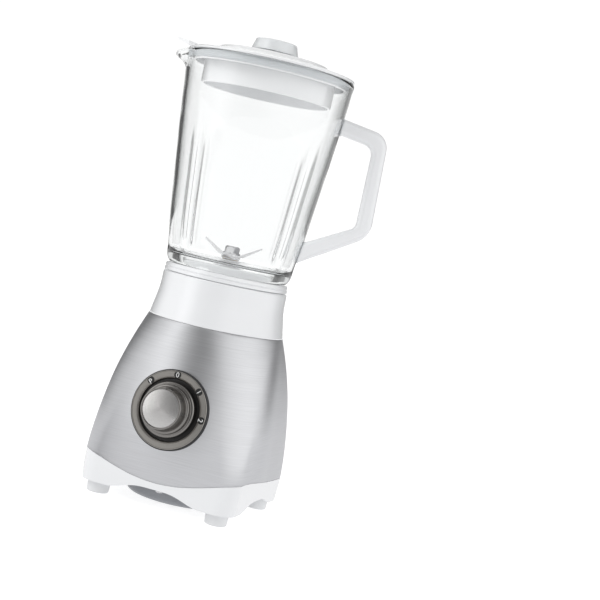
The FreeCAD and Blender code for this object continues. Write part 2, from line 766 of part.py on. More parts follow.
def armature_windings():
    """Copper in the slots, joined by a rounded bundle at each end."""
    parts = []
    for low, high in ((STACK_Z - COIL_END, STACK_Z), (STACK_TOP, STACK_TOP + COIL_END)):
        outer = ARMATURE_R - 1.4
        inner = SHAFT_R + 1.5
        bundle = turned(((inner, low, 1.0), (outer, low, 2.0), (outer, high, 2.0), (inner, high, 1.0)))
        parts.append(bundle)
    for wire in around(rod(2.3, STACK_Z - 2.5, STACK_TOP + 2.5, ARMATURE_R - 4.0), SLOTS):
        parts.append(wire)
    return fused(parts)


def commutator():
    low = COMMUTATOR_Z
    high = low + COMMUTATOR_H - 1.0
    body = ring(COMMUTATOR_R, SHAFT_R, low, high)
    riser = ring(COMMUTATOR_R + 1.6, COMMUTATOR_R - 1, low, low + 2.0)
    drum = fused([body, riser])
    for cut in around(block(1.2, 0.5, low - 1, high + 1, COMMUTATOR_R), 2 * SLOTS):
        drum = drum.cut(cut)
    return drum


def cooling_fan():
    low = FAN_Z
    plate = ring(FAN_R, SHAFT_R, low, low + 1.6)
    hub = ring(8.0, SHAFT_R, low, low + FAN_H)
    blade = block(FAN_R - 10.0, 1.4, low + 1, low + FAN_H, (FAN_R + 9.0) / 2)
    blade.rotate(V(9.0, 0, 0), UP, 24.0)
    blade = blade.common(rod(FAN_R, low, low + FAN_H))
    return fused([plate, hub] + around(blade, 9))


def motor_shaft():
    low = LOWER_BRACKET_Z + 0.2
    flat = block(10, 10, SHAFT_TOP - 10.0, SHAFT_TOP + 1, 0, SHAFT_R + 4.0)
    shaft = turned(((0, low), (SHAFT_R, low, 0.5), (SHAFT_R, SHAFT_TOP, 0.5), (0, SHAFT_TOP)))
    return shaft.cut(flat)


BRUSH_Z = COMMUTATOR_Z + 2.4
BRUSH_IN = COMMUTATOR_R + 0.05
BRUSH_LONG = 14.0
HOLDER_IN = COMMUTATOR_R + 3.0
HOLDER_LONG = 22.0


def both_sides(shape):
    return Part.makeCompound([shape, spun(shape, 180)])


def brush_holders():
    low = BRUSH_Z - 1.2
    tube = block(HOLDER_LONG, BRUSH_W + 2.8, low, UPPER_BRACKET_Z, HOLDER_IN + HOLDER_LONG / 2)
    channel = block(HOLDER_LONG, BRUSH_W + 2 * FIT, BRUSH_Z - FIT, BRUSH_Z + BRUSH_H + FIT, HOLDER_IN + HOLDER_LONG / 2 - 2.0)
    return both_sides(tube.cut(channel))


def carbon_brushes():
    brush = block(BRUSH_LONG, BRUSH_W, BRUSH_Z, BRUSH_Z + BRUSH_H, BRUSH_IN + BRUSH_LONG / 2)
    face = rod(COMMUTATOR_R + 0.05, BRUSH_Z - 1, BRUSH_Z + BRUSH_H + 1)
    return both_sides(brush.cut(face))


def brush_springs():
    """Round wire spring behind each brush."""
    wire = 0.4
    radius = 2.2
    start = BRUSH_IN + BRUSH_LONG + wire
    length = HOLDER_IN + HOLDER_LONG - 2.0 - wire - start
    helix = Part.makeHelix(length / 4, length, radius)
    circle = Part.Wire([Part.Circle(V(radius, 0, 0), V(0, 1, 0), wire).toShape()])
    coil = Part.Wire(helix).makePipeShell([circle], True, True)
    coil.rotate(V(0, 0, 0), V(0, 1, 0), 90)
    coil.translate(V(start, 0, BRUSH_Z + BRUSH_H / 2))
    return both_sides(coil)


def motor_screws():
    """Two long screws that clamp the motor together and hang it from the housing's posts."""
    seat = LOWER_BRACKET_Z
    screw = pan_screw(4.0, 3.0, MOTOR_SCREW_R, seat, HOUSING_TOP - 6.0 - seat)
    screw.translate(V(MOTOR_SCREW_X, 0, 0))
    return both_sides(screw)


def motor_dampers():
    low = UPPER_BRACKET_Z + BRACKET_T
    profile = (
        (MOTOR_SCREW_R + FIT, low),
        (7.0, low, 0.8),
        (5.6, low + DAMPER_H / 2, 0.8),
        (7.0, low + DAMPER_H, 0.8),
        (MOTOR_SCREW_R + FIT, low + DAMPER_H),
    )
    damper = turned(profile)
    damper.translate(V(MOTOR_SCREW_X, 0, 0))
    return both_sides(damper)


# ================================================================ couplers
DRIVE_LOW = WELL_FLOOR + 1.4
DRIVE_TOP = DRIVE_LOW + 10.0
HUB_R = 7.0


def drive_coupler():
    """Star on the motor shaft: its lugs push the jug's coupler round."""
    hub = rod(HUB_R, DRIVE_LOW, DRIVE_TOP)
    lug = block(COUPLER_R - HUB_R + 1.0, COUPLER_LUG_W, DRIVE_LOW, DRIVE_TOP, (COUPLER_R + HUB_R - 1.0) / 2)
    star = fused([hub, rod(COUPLER_R, DRIVE_LOW, DRIVE_LOW + 1.6)] + around(lug, COUPLER_LUGS))
    bore = rod(SHAFT_R, DRIVE_LOW - 1, DRIVE_TOP + 1)
    bore = bore.cut(block(10, 10, SHAFT_TOP - 10.0, DRIVE_TOP + 2, 0, SHAFT_R + 4.0))
    return star.cut(bore)


def driven_coupler():
    """Matching star under the jug, with lugs that drop into the gaps of the motor's star."""
    low = DRIVE_LOW + 2.0
    seat = max(DRIVE_TOP, SHAFT_TOP) + 0.6
    top = seat + 3.4
    plate = rod(COUPLER_R, seat, top)
    lug = block(COUPLER_R - HUB_R - 0.6, COUPLER_LUG_W, low, top, (COUPLER_R + HUB_R + 0.6) / 2)
    parts = [plate] + around(lug, COUPLER_LUGS, 180.0 / COUPLER_LUGS)
    return fused(parts).cut(rod(SHAFT_R, seat + 1.0, top + 1))


DRIVEN_TOP = max(DRIVE_TOP, SHAFT_TOP) + 4.0

# ================================================================ jug
CARRIER_FLANGE_T = 2.2
CARRIER_SEAL_T = 1.4
CARRIER_FLANGE_TOP = JUG_NECK_Z - CARRIER_SEAL_T
COLLAR_LIP_TOP = CARRIER_FLANGE_TOP - CARRIER_FLANGE_T
COLLAR_BOTTOM = COLLAR_LIP_TOP - COLLAR_LIP
BUSH_R = 7.0


def jug_turned(shape):
    return spun(shape, JUG_TURN)


def glass_form(levels, ribs_between):
    """Closed solid with a smooth side through rings of (height, radius) levels.

    Four upright ribs press the wall inwards, and the spout pulls its top outwards.
    """
    count = 144
    smoothing = (4 + 2 * math.cos(2 * math.pi / count)) / 6
    rib_low, rib_high = ribs_between
    rows = []
    for z, radius in levels:
        rise = (z - (GLASS_TOP - 16.0)) / 10.0
        spout = SPOUT_REACH * min(max(rise, 0.0), 1.0)
        fade = min((z - rib_low) / 12.0, (rib_high - z) / 30.0)
        rib = RIB_DEPTH * min(max(fade, 0.0), 1.0)
        row = []
        for i in range(count):
            angle = 360.0 * i / count
            dents = sum(bump(angle - place, RIB_HALF_ANGLE) for place in (45, 135, 225, 315))
            size = (radius - rib * dents + spout * bump(angle - 180, SPOUT_HALF_ANGLE)) / smoothing
            turn = math.radians(angle)
            row.append(V(size * math.cos(turn), size * math.sin(turn), z))
        rows.append(row)
    side = Part.BSplineSurface()
    spans = len(rows) - 3
    row_mults = [4] + [1] * (spans - 1) + [4]
    side.buildFromPolesMultsKnots(
        rows, row_mults, [1] * (count + 1), list(range(spans + 1)), list(range(count + 1)), False, True, 3, 3
    )
    face = side.toShape()
    faces = [face]
    for z in (levels[0][0], levels[-1][0]):
        rim = [e for e in face.Edges if abs(e.BoundBox.ZMin - z) < 1e-4 and abs(e.BoundBox.ZMax - z) < 1e-4]
        faces.append(Part.Face(Part.Wire(rim)))
    solid = Part.Solid(Part.Shell(faces))
    solid.fix(0.01, 0.001, 0.1)  # turns the side and its two ends the same way, outwards
    return solid


def glass_levels(offset):
    spread = GLASS_TOP_R - GLASS_LOW_R
    return [(GLASS_Z + up * JUG_H, GLASS_LOW_R + out * spread - offset) for up, out in GLASS_PROFILE]


def plain_glass(extra):
    """The jug's outside without ribs or spout, grown outwards, to trim what stands against it."""
    corners = [(radius + extra, z) for z, radius in glass_levels(0)]
    return turned([(0, GLASS_Z)] + corners + [(0, GLASS_TOP)])


def jug_glass():
    ribs = (GLASS_FLOOR + 2.0, GLASS_TOP - 48.0)
    outer = glass_form(glass_levels(0), ribs)
    inside = [level for level in glass_levels(GLASS_WALL) if level[0] > GLASS_FLOOR + 4.0]
    low_radius = inside[0][1]
    bowl = [(GLASS_FLOOR, low_radius - 5.0), (GLASS_FLOOR + 0.3, low_radius - 2.0), (GLASS_FLOOR + 2.2, low_radius - 0.4)]
    inside[-1] = (GLASS_TOP, inside[-2][1])
    inner = glass_form(bowl + inside + [(GLASS_TOP + 3.0, inside[-1][1])], ribs)
    neck_tube = rod(JUG_NECK_R, JUG_NECK_Z, GLASS_Z + 2.0)
    thread = [ring(JUG_NECK_R + 0.9, JUG_NECK_R - 1, z, z + 1.6) for z in (JUG_NECK_Z + 3, JUG_NECK_Z + 8)]
    glass = fused([outer, neck_tube] + thread).cut(inner)
    glass = glass.cut(rod(JUG_NECK_BORE, JUG_NECK_Z - 1, GLASS_FLOOR + 1))
    droop = Part.makeBox(30, 80, 20, V(-72 - 30, -40, GLASS_TOP))
    droop.rotate(V(-72, 0, GLASS_TOP), V(0, 1, 0), -20.0)
    return jug_turned(glass.cut(droop))


def handle_bar():
    """Angular loop: down from under the rim, along, and back in to the glass near its foot."""
    top = GLASS_TOP - HANDLE_TOP_DROP
    low = GLASS_Z + HANDLE_LOW
    root = GLASS_LOW_R - 2.0
    inner = HANDLE_REACH - HANDLE_T
    corners = (
        (root, top + 1.7),
        (HANDLE_REACH - 2.2, top - 8.2, 15.0),
        (HANDLE_REACH, low + 37.8, 20.0),
        (root, low - 1.0),
        (root, low + 16.6),
        (inner, low + 43.1, 6.4),
        (inner, top - 20.0, 9.6),
        (root, top - 12.6),
    )
    bar = Part.Face(outline(corners)).extrude(V(0, HANDLE_W, 0))
    bar.translate(V(0, -HANDLE_W / 2, 0))
    long_edges = [e for e in bar.Edges if abs(e.BoundBox.YLength) < 1e-6 and e.BoundBox.XMax > root + 1.0]
    return bar.makeFillet(HANDLE_ROUND, long_edges)


def jug_handle():
    return jug_turned(handle_bar().cut(plain_glass(PAD_T + 0.3)))


def handle_pads():
    """Thin soft pads between the handle's two roots and the glass."""
    zone = handle_bar().common(plain_glass(PAD_T + 0.25))
    return jug_turned(zone.cut(plain_glass(0.25)))


def jug_collar():
    """Screwed ring that clamps the blade carrier to the glass and drops into the base's well."""
    profile = (
        (COLLAR_SKIRT_R - 19.0, COLLAR_BOTTOM),
        (COLLAR_SKIRT_R, COLLAR_BOTTOM, 1.5),
        (COLLAR_SKIRT_R, COLLAR_Z),
        (COLLAR_R, COLLAR_Z, 0.5),
        (COLLAR_R, COLLAR_Z + 2.8, 0.4),
        (COLLAR_R - 0.6, COLLAR_Z + 3.1),
        (COLLAR_R - 0.6, COLLAR_Z + 3.5),
        (COLLAR_R, COLLAR_Z + 3.8, 0.4),
        (COLLAR_R - 0.9, COLLAR_Z + COLLAR_H, 0.8),
        (JUG_NECK_R + 1.1, COLLAR_Z + COLLAR_H),
        (JUG_NECK_R + 1.1, COLLAR_LIP_TOP),
        (COLLAR_SKIRT_R - 19.0, COLLAR_LIP_TOP),
    )
    collar = turned(profile)
    grip = block(1.2, 2.0, COLLAR_BOTTOM - 1, COLLAR_Z - 6.0, COLLAR_SKIRT_R)
    for cut in around(grip, 24, 3.0):
        collar = collar.cut(cut)
    return jug_turned(collar)


def blade_carrier():
    """Plug that closes the jug's neck and holds the blade shaft's bushing."""
    wall_r = JUG_NECK_BORE - 0.3
    top = GLASS_FLOOR - 1.0
    profile = (
        (wall_r - 3.0, COLLAR_LIP_TOP),
        (JUG_NECK_R - 0.4, COLLAR_LIP_TOP),
        (JUG_NECK_R - 0.4, CARRIER_FLANGE_TOP),
        (wall_r, CARRIER_FLANGE_TOP),
        (wall_r, top, 1.2),
        (16.0, top + 0.8, 4.0),
        (11.0, top + 3.0, 1.5),
        (BUSH_R + 0.02, top + 3.0),
        (BUSH_R + 0.02, BUSH_LOW),
        (11.0, BUSH_LOW),
        (12.0, top - 3.0, 2.0),
        (wall_r - 3.0, top - 3.0, 2.0),
    )
    return jug_turned(turned(profile))


def carrier_seal():
    low, high = CARRIER_FLANGE_TOP, JUG_NECK_Z
    return turned(((JUG_NECK_BORE, low), (JUG_NECK_R - 0.2, low, 0.4), (JUG_NECK_R - 0.2, high, 0.4), (JUG_NECK_BORE, high)))


BUSH_LOW = DRIVEN_TOP + 3.0
BUSH_TOP = GLASS_FLOOR + 2.4


def blade_bushing():
    return turned(
        ((SHAFT_R + RUNNING_FIT, BUSH_LOW), (BUSH_R, BUSH_LOW), (BUSH_R, BUSH_TOP, 0.6), (SHAFT_R + RUNNING_FIT, BUSH_TOP, 0.4))
    )


# ================================================================ blades
WASHER_T = 1.2
LOWER_BLADE_Z = BUSH_TOP + 0.4 + WASHER_T
UPPER_BLADE_Z = LOWER_BLADE_Z + BLADE_T + WASHER_T
NUT_Z = UPPER_BLADE_Z + BLADE_T + WASHER_T
NUT_H = 5.5


def bent_blade(flat_z, tip_rise):
    """Two-armed steel blade: flat in the middle, its arms bent up or down and narrowing outwards."""
    bend = 9.0
    half = BLADE_T / 2
    middle = flat_z + half
    side = (
        (-BLADE_REACH, middle + tip_rise - half),
        (-bend, middle - half),
        (bend, middle - half),
        (BLADE_REACH, middle + tip_rise - half),
        (BLADE_REACH, middle + tip_rise + half),
        (bend, middle + half),
        (-bend, middle + half),
        (-BLADE_REACH, middle + tip_rise + half),
    )
    strip = Part.Face(outline(side)).extrude(V(0, BLADE_W, 0))
    strip.translate(V(0, -BLADE_W / 2, 0))
    reach, broad, narrow = BLADE_REACH, BLADE_W / 2, BLADE_W / 5
    plan = [(-reach, -narrow), (-bend, -broad), (bend, -broad), (reach, narrow - 1.0)]
    plan += [(reach, narrow), (bend, broad), (-bend, broad), (-reach, 1.0 - narrow)]
    points = [V(x, y, 0) for x, y in plan]
    outline_face = Part.Face(Part.makePolygon(points + points[:1]))
    prism = outline_face.extrude(V(0, 0, 300))
    return strip.common(prism).cut(rod(SHAFT_R, flat_z - 30, flat_z + 30))


def upper_blade():
    return bent_blade(UPPER_BLADE_Z, BLADE_RISE)


def lower_blade():
    return spun(bent_blade(LOWER_BLADE_Z, BLADE_RISE * 0.35), 90)


def blade_washers():
    washers = []
    for low in (LOWER_BLADE_Z - WASHER_T, LOWER_BLADE_Z + BLADE_T, UPPER_BLADE_Z + BLADE_T):
        washers.append(ring(7.5, SHAFT_R, low, low + WASHER_T))
    return Part.makeCompound(washers)


def blade_nut():
    """Domed hexagon nut that clamps the blades."""
    across = 6.6
    corners = [V(across * math.cos(math.radians(60 * i)), across * math.sin(math.radians(60 * i)), NUT_Z) for i in range(6)]
    hexagon = Part.Face(Part.makePolygon(corners + corners[:1])).extrude(V(0, 0, NUT_H))
    dome = Part.makeSphere(8.2, V(0, 0, NUT_Z + NUT_H - 6.4))
    return hexagon.common(dome.fuse(rod(across, NUT_Z, NUT_Z + 2.0))).cut(rod(SHAFT_R, NUT_Z - 1, NUT_Z + 3.4))


def blade_shaft():
    low = DRIVEN_TOP - 2.4
    high = NUT_Z + 3.2
    return turned(((0, low), (SHAFT_R, low, 0.4), (SHAFT_R, high, 0.4), (0, high)))


def shaft_clip():
    """Spring clip that keeps the blade shaft from lifting out of its bushing."""
    low = BUSH_LOW - 1.6
    return ring(6.2, SHAFT_R, low, low + 1.0).cut(block(8, 3.0, low - 1, low + 2, 6))


# ================================================================ lid and cap
SKIRT_R = GLASS_TOP_R - GLASS_WALL - 2.6


def lid():
    """Lid with a raised middle, a plug skirt, a filler hole and a tongue over the spout."""
    rim_top = LID_Z + LID_RIM_T
    dome_low = LID_Z + LID_DOME_H - 3.6
    top = LID_Z + LID_DOME_H
    hole = CAP_NECK_R + 0.35
    profile = (
        (hole, top - 5.5),
        (hole, top, 0.5),
        (CAP_R - 1.0, top, 1.0),
        (LID_DOME_R, dome_low, 2.2),
        (LID_DOME_R + 2.6, rim_top + 0.8, 2.0),
        (LID_R - 3.6, rim_top, 1.0),
        (LID_R, rim_top - 1.2, 0.9),
        (LID_R, LID_Z, 0.4),
        (SKIRT_R, LID_Z),
        (SKIRT_R, LID_Z - 8.0, 0.8),
        (SKIRT_R - LID_WALL, LID_Z - 8.0),
        (SKIRT_R - LID_WALL, LID_Z + 0.6),
        (PLUG_R, LID_Z + 0.6),
        (PLUG_R - 0.8, LID_Z - PLUG_DEPTH, 0.8),
        (PLUG_R - 0.8 - LID_WALL, LID_Z - PLUG_DEPTH, 0.6),
        (PLUG_R - LID_WALL, LID_Z + 0.4, 2.0),
        (LID_DOME_R - 1.8, LID_Z + 0.6, 1.0),
        (LID_DOME_R - 2.4, dome_low - 2.6, 1.6),
        (hole + 2.4, top - 2.8),
        (hole + 2.4, top - 5.5),
    )
    whole = fused([turned(profile), spout_tongue()])
    return jug_turned(whole)


def spout_tongue():
    """Lip of the lid that tilts up over the jug's spout."""
    root, tip = LID_R - 12.0, TONGUE_REACH
    low = LID_Z + 0.2
    side = ((-root, low), (-root, low + 2.6), (-tip, low + 7.4, 0.8), (-tip, low + 5.2, 0.8), (-LID_R + 4.0, low, 6.0))
    plate = Part.Face(outline(side)).extrude(V(0, 60, 0))
    plate.translate(V(0, -30, 0))
    plan = [(-root, -19.0), (-LID_R, -16.5), (-tip + 5, -12.5), (-tip, -7.0), (-tip, 7.0), (-tip + 5, 12.5), (-LID_R, 16.5), (-root, 19.0)]
    points = [V(x, y, low - 5) for x, y in plan]
    return plate.common(Part.Face(Part.makePolygon(points + points[:1])).extrude(V(0, 0, 30)))


def lid_seal():
    """Soft ring round the plug, which wipes the inside of the glass."""
    low = LID_Z - 6.5
    reach = SKIRT_R + 1.7
    profile = ((SKIRT_R + 0.02, low), (SKIRT_R + 1.2, low, 0.5), (reach, low + 1.4, 0.4), (reach, low + 2.4, 0.4), (SKIRT_R + 1.2, low + 4.0, 0.5), (SKIRT_R + 0.02, low + 4.0))
    return turned(profile)


def measuring_cap():
    """Small cup that closes the filler hole, and measures when it is turned over."""
    low = CAP_Z - CAP_NECK_H
    top = CAP_Z + CAP_H
    inner = CAP_NECK_R - CAP_WALL
    profile = (
        (0, top),
        (CAP_TOP_R, top, 1.8),
        (CAP_R, CAP_Z, 0.5),
        (CAP_NECK_R, CAP_Z),
        (CAP_NECK_R, low, 0.5),
        (inner, low, 0.4),
        (inner, top - CAP_WALL, 1.5),
        (0, top - CAP_WALL),
    )
    return jug_turned(turned(profile))


# ================================================================ export
NODES = {
    "base_tray": base_tray,
    "bottom_cover": bottom_cover,
    "steel_skin": steel_skin,
    "inner_housing": inner_housing,
    "neck": neck,
    "cover_screws": cover_screws,
    "neck_screws": neck_screws,
    "dial_bezel": dial_bezel,
    "switch_body": switch_body,
    "switch_screws": switch_screws,
    "motor_stator": motor_stator,
    "field_coils": field_coils,
    "upper_motor_bracket": upper_motor_bracket,
    "lower_motor_bracket": lower_motor_bracket,
    "upper_bearing": lambda: ball_bearing(UPPER_BRACKET_Z + BRACKET_T - BEARING_H),
    "lower_bearing": lambda: ball_bearing(LOWER_BRACKET_Z),
    "brush_holders": brush_holders,
    "carbon_brushes": carbon_brushes,
    "brush_springs": brush_springs,
    "motor_screws": motor_screws,
    "motor_dampers": motor_dampers,
    "shaft_seal": shaft_seal,
    "cord_grommet": cord_grommet,
    "interlock_switch": interlock_switch,
    "noise_capacitor": noise_capacitor,
    "knob": knob,
    "knob_face": knob_face,
    "switch_shaft": switch_shaft,
    "motor_shaft": motor_shaft,
    "armature_core": armature_core,
    "armature_windings": armature_windings,
    "commutator": commutator,
    "cooling_fan": cooling_fan,
    "drive_coupler": drive_coupler,
    "interlock_plunger": interlock_plunger,
    "jug_glass": jug_glass,
    "jug_handle": jug_handle,
    "handle_pads": handle_pads,
    "jug_collar": jug_collar,
    "blade_carrier": blade_carrier,
    "carrier_seal": carrier_seal,
    "blade_bushing": blade_bushing,
    "blade_shaft": blade_shaft,
    "upper_blade": upper_blade,
    "lower_blade": lower_blade,
    "blade_washers": blade_washers,
    "blade_nut": blade_nut,
    "driven_coupler": driven_coupler,
    "shaft_clip": shaft_clip,
    "lid": lid,
    "lid_seal": lid_seal,
    "measuring_cap": measuring_cap,
}


def placed_foot(x, y):
    shape = foot()
    shape.translate(V(x, y, 0))
    return shape


def main():
    os.makedirs("parts", exist_ok=True)
    shapes = {name: make() for name, make in NODES.items()}
    foot_names = ("foot_front_left", "foot_front_right", "foot_rear_left", "foot_rear_right")
    for name, (x, y) in zip(foot_names, foot_places()):
        shapes[name] = placed_foot(x, y)
    for name, shape in shapes.items():
        print(name, "valid", shape.isValid(), "solids", len(shape.Solids), "mm3", round(shape.Volume, 1))
        shape.exportStep("parts/" + name + ".step")


main()
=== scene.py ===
# %% [markdown]
# # A countertop blender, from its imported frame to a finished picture
# The frame is the model that the designer packed: every part as a mesh, in metres, already
# in its place. It is loaded first and never moved. What follows dresses it, cell by cell.

# %% Load the frame
import bpy
import bmesh
import json
import math
from mathutils import Matrix, Vector


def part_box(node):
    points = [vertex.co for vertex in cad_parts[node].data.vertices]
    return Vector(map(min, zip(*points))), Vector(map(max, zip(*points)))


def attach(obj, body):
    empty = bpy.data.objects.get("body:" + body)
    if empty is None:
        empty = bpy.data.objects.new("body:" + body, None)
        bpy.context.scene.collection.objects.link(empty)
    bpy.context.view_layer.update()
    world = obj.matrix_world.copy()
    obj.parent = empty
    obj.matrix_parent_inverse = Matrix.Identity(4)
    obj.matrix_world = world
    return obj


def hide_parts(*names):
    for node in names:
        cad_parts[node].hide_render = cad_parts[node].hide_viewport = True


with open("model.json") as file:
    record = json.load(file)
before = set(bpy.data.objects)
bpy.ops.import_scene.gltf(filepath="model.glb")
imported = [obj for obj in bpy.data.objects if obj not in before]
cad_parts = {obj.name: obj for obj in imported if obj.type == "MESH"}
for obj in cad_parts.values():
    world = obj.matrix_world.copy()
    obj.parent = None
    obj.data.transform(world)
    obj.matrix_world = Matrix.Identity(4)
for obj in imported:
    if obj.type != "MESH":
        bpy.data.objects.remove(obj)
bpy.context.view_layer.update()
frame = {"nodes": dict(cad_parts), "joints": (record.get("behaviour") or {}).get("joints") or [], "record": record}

nodes = frame["nodes"]
MM = 0.001

# %% [markdown]
# ## The camera
# The camera stands in front of the blender, a little to its right and just above the middle,
# and is rolled so that the blender leans. Its axes are worked out from three angles rather
# than from a target point, because a roll is easier to read as an angle. Depth of field is off.

# %% Place the camera
CAMERA_PLACE = Vector((0.38937, -1.14247, 0.2519))
CAMERA_TURN, CAMERA_PITCH, CAMERA_ROLL = (math.radians(a) for a in (15.73, -2.99, 12.33))

ahead = Vector((-math.sin(CAMERA_TURN) * math.cos(CAMERA_PITCH),
                math.cos(CAMERA_TURN) * math.cos(CAMERA_PITCH), math.sin(CAMERA_PITCH)))
level = Vector((math.cos(CAMERA_TURN), math.sin(CAMERA_TURN), 0))
upright = level.cross(ahead)
camera_x = level * math.cos(CAMERA_ROLL) + upright * math.sin(CAMERA_ROLL)
camera_y = upright * math.cos(CAMERA_ROLL) - level * math.sin(CAMERA_ROLL)

camera = bpy.data.objects.new("camera", bpy.data.cameras.new("camera"))
camera.data.lens, camera.data.sensor_width = 85.38, 36.0
camera.data.clip_start, camera.data.clip_end = 0.01, 50.0
camera.data.dof.use_dof = False
axes = Matrix((camera_x, camera_y, -ahead)).transposed().to_4x4()
camera.matrix_world = Matrix.Translation(CAMERA_PLACE) @ axes
bpy.context.scene.collection.objects.link(camera)
bpy.context.scene.camera = camera
print("camera at", tuple(CAMERA_PLACE), "lens", camera.data.lens)

# %% [markdown]
# ## A small language for materials
# A material is a graph of nodes, and graphs written node by node are hard to read. `Field` is
# a number or colour that varies over a surface: Python's own signs work on it, so a mask can be
# written as `1 - mask * 0.4`. `Finish` is one material, and its `node` method is the only place
# where a node is made. Anything that is the same all over is set on the shader itself.

# %% Fields and finishes
class Field:
    """A value that varies over the surface, held as the socket that gives it."""

    def __init__(self, finish, socket):
        self.finish, self.socket = finish, socket

    def maths(self, operation, first, second=0.0):
        return self.finish.node("Math", {"operation": operation}, {0: first, 1: second})

    def __add__(self, other):
        return self.maths("ADD", self, other)

    def __sub__(self, other):
        return self.maths("SUBTRACT", self, other)

    def __rsub__(self, other):
        return self.maths("SUBTRACT", other, self)

    def __mul__(self, other):
        return self.maths("MULTIPLY", self, other)

    def __truediv__(self, other):
        return self.maths("DIVIDE", self, other)

    def __gt__(self, other):
        return self.maths("GREATER_THAN", self, other)

    def __lt__(self, other):
        return self.maths("LESS_THAN", self, other)

    __radd__ = __add__
    __rmul__ = __mul__

    def between(self, low, high):
        """0 at low and 1 at high, held at those outside them."""
        settings = {"clamp": True, "interpolation_type": "SMOOTHSTEP"}
        return self.finish.node("MapRange", settings, {0: self, 1: low, 2: high})


class Finish:
    """One material: its shader's constants, and the method that adds every other node."""

    def __init__(self, name, base, roughness, **constants):
        self.material = bpy.data.materials.new(name)
        self.material.use_nodes = True
        self.tree = self.material.node_tree
        self.shader = self.tree.nodes["Principled BSDF"]
        self.base = (*base, 1.0)
        for socket, value in {"Base Color": self.base, "Roughness": roughness, **constants}.items():
            self.shader.inputs[socket.replace("_", " ")].default_value = value

    def node(self, kind, settings=None, values=None, output=0):
        made = self.tree.nodes.new("ShaderNode" + kind)
        for name, value in (settings or {}).items():
            if name == "stops":
                ramp = made.color_ramp.elements
                while len(ramp) < len(value):
                    ramp.new(0.5)
                for element, (place, colour) in zip(ramp, value):
                    element.position, element.color = place, colour
            else:
                setattr(made, name, value)
        for socket, value in (values or {}).items():
            if isinstance(value, Field):
                self.tree.links.new(value.socket, made.inputs[socket])
            else:
                made.inputs[socket].default_value = value
        return Field(self, made.outputs[output])

    def place(self, scale=(1, 1, 1), rotation=(0, 0, 0)):
        """Coordinates on the object in metres, turned and scaled."""
        coordinates = self.node("TexCoord", output="Object")
        values = {"Vector": coordinates, "Rotation": rotation, "Scale": scale}
        return self.node("Mapping", {"vector_type": "POINT"}, values)

    def noise(self, scale, detail=2.0, rough=0.5, vector=None):
        where = vector or self.place()
        values = {"Vector": where, "Scale": scale, "Detail": detail, "Roughness": rough}
        return self.node("TexNoise", {}, values)

    def blend(self, share, first, second):
        """A colour between two, by a field or a number."""
        values = {0: share, 6: first, 7: second}
        return self.node("Mix", {"data_type": "RGBA"}, values, output=2)

    def feed(self, socket, field):
        self.tree.links.new(field.socket, self.shader.inputs[socket])

    def tint(self, field, dark, light):
        """Colour the finish between two shades of its own base."""
        low = tuple(c * dark for c in self.base[:3]) + (1.0,)
        high = tuple(min(c * light, 1.0) for c in self.base[:3]) + (1.0,)
        self.feed("Base Color", self.blend(field, low, high))

    def relief(self, height, distance):
        """Raise the surface by a field; the distance is the whole rise in metres."""
        values = {"Height": height, "Distance": distance}
        self.feed("Normal", self.node("Bump", {}, values, output="Normal"))


print("material language ready")

# %% [markdown]
# ## Plain finishes: moulded, rubbed and cast
# Most hidden parts need a quiet surface: a moulded grain, a slightly uneven gloss and a little
# variation in shade. One maker does them all, from a few numbers each, so they stay in step. The
# white parts one sees most are moulded very smooth, and a clear coat stands for that gloss.

# %% One maker for plain finishes
finishes = {}


def plain_finish(slot, base, roughness, grain, depth, spread=0.12, uneven=0.08, **constants):
    """Grain is the size of the surface's texture in metres and depth its height."""
    finish = Finish(slot, base, roughness, **constants)
    fine = finish.noise(1.0 / grain, 3.0)
    broad = finish.noise(18.0, 2.0)
    finish.tint(broad * 0.7 + fine * 0.3, 1.0 - spread, 1.0 + spread)
    finish.feed("Roughness", roughness + (broad - 0.5) * (2.0 * uneven))
    finish.relief(fine, depth)
    finishes[slot] = finish
    return finish


LACQUER = {"Coat_Weight": 1.0, "Coat_Roughness": 0.04}
plain_finish("white_gloss", (0.84, 0.85, 0.862), 0.16, 0.0016, 0.000004, 0.012, 0.04, **LACQUER)
# Grey plastic. On the bottom plate seen under the arch, this grey also stands for the shade under the base: partly
# painted shade.
plain_finish("grey_plastic", (0.30, 0.31, 0.33), 0.48, 0.0006, 0.00003)
plain_finish("liner_plastic", (0.62, 0.62, 0.60), 0.45, 0.0009, 0.00002, 0.05)
plain_finish("foot_rubber", (0.76, 0.77, 0.78), 0.55, 0.0005, 0.00003, 0.06)
plain_finish("black_plastic", (0.022, 0.022, 0.023), 0.38, 0.0005, 0.00003, 0.3)
plain_finish("black_rubber", (0.028, 0.028, 0.029), 0.70, 0.0006, 0.00004, 0.3)
plain_finish("carbon", (0.045, 0.045, 0.047), 0.62, 0.0003, 0.00003, 0.35)
plain_finish("capacitor_yellow", (0.80, 0.52, 0.06), 0.22, 0.004, 0.00002, 0.06)
plain_finish("clear_seal", (0.74, 0.77, 0.79), 0.40, 0.0008, 0.00001, 0.04,
             Transmission_Weight=0.25, IOR=1.41)
# A lighter copy of the white for the lid: painted light that lifts the shade on its underside.
lid_white = plain_finish("lid_white", (0.87, 0.878, 0.885), 0.14, 0.0016, 0.000004, 0.012, 0.04,
                         **LACQUER)
print(len(finishes), "plain finishes")

# %% [markdown]
# ## Worked metals
# A metal shows how it was worked: drawn along, turned round or cast. The grain of turned and
# drawn metal is noise squeezed along one axis, so that each speck becomes a hairline.

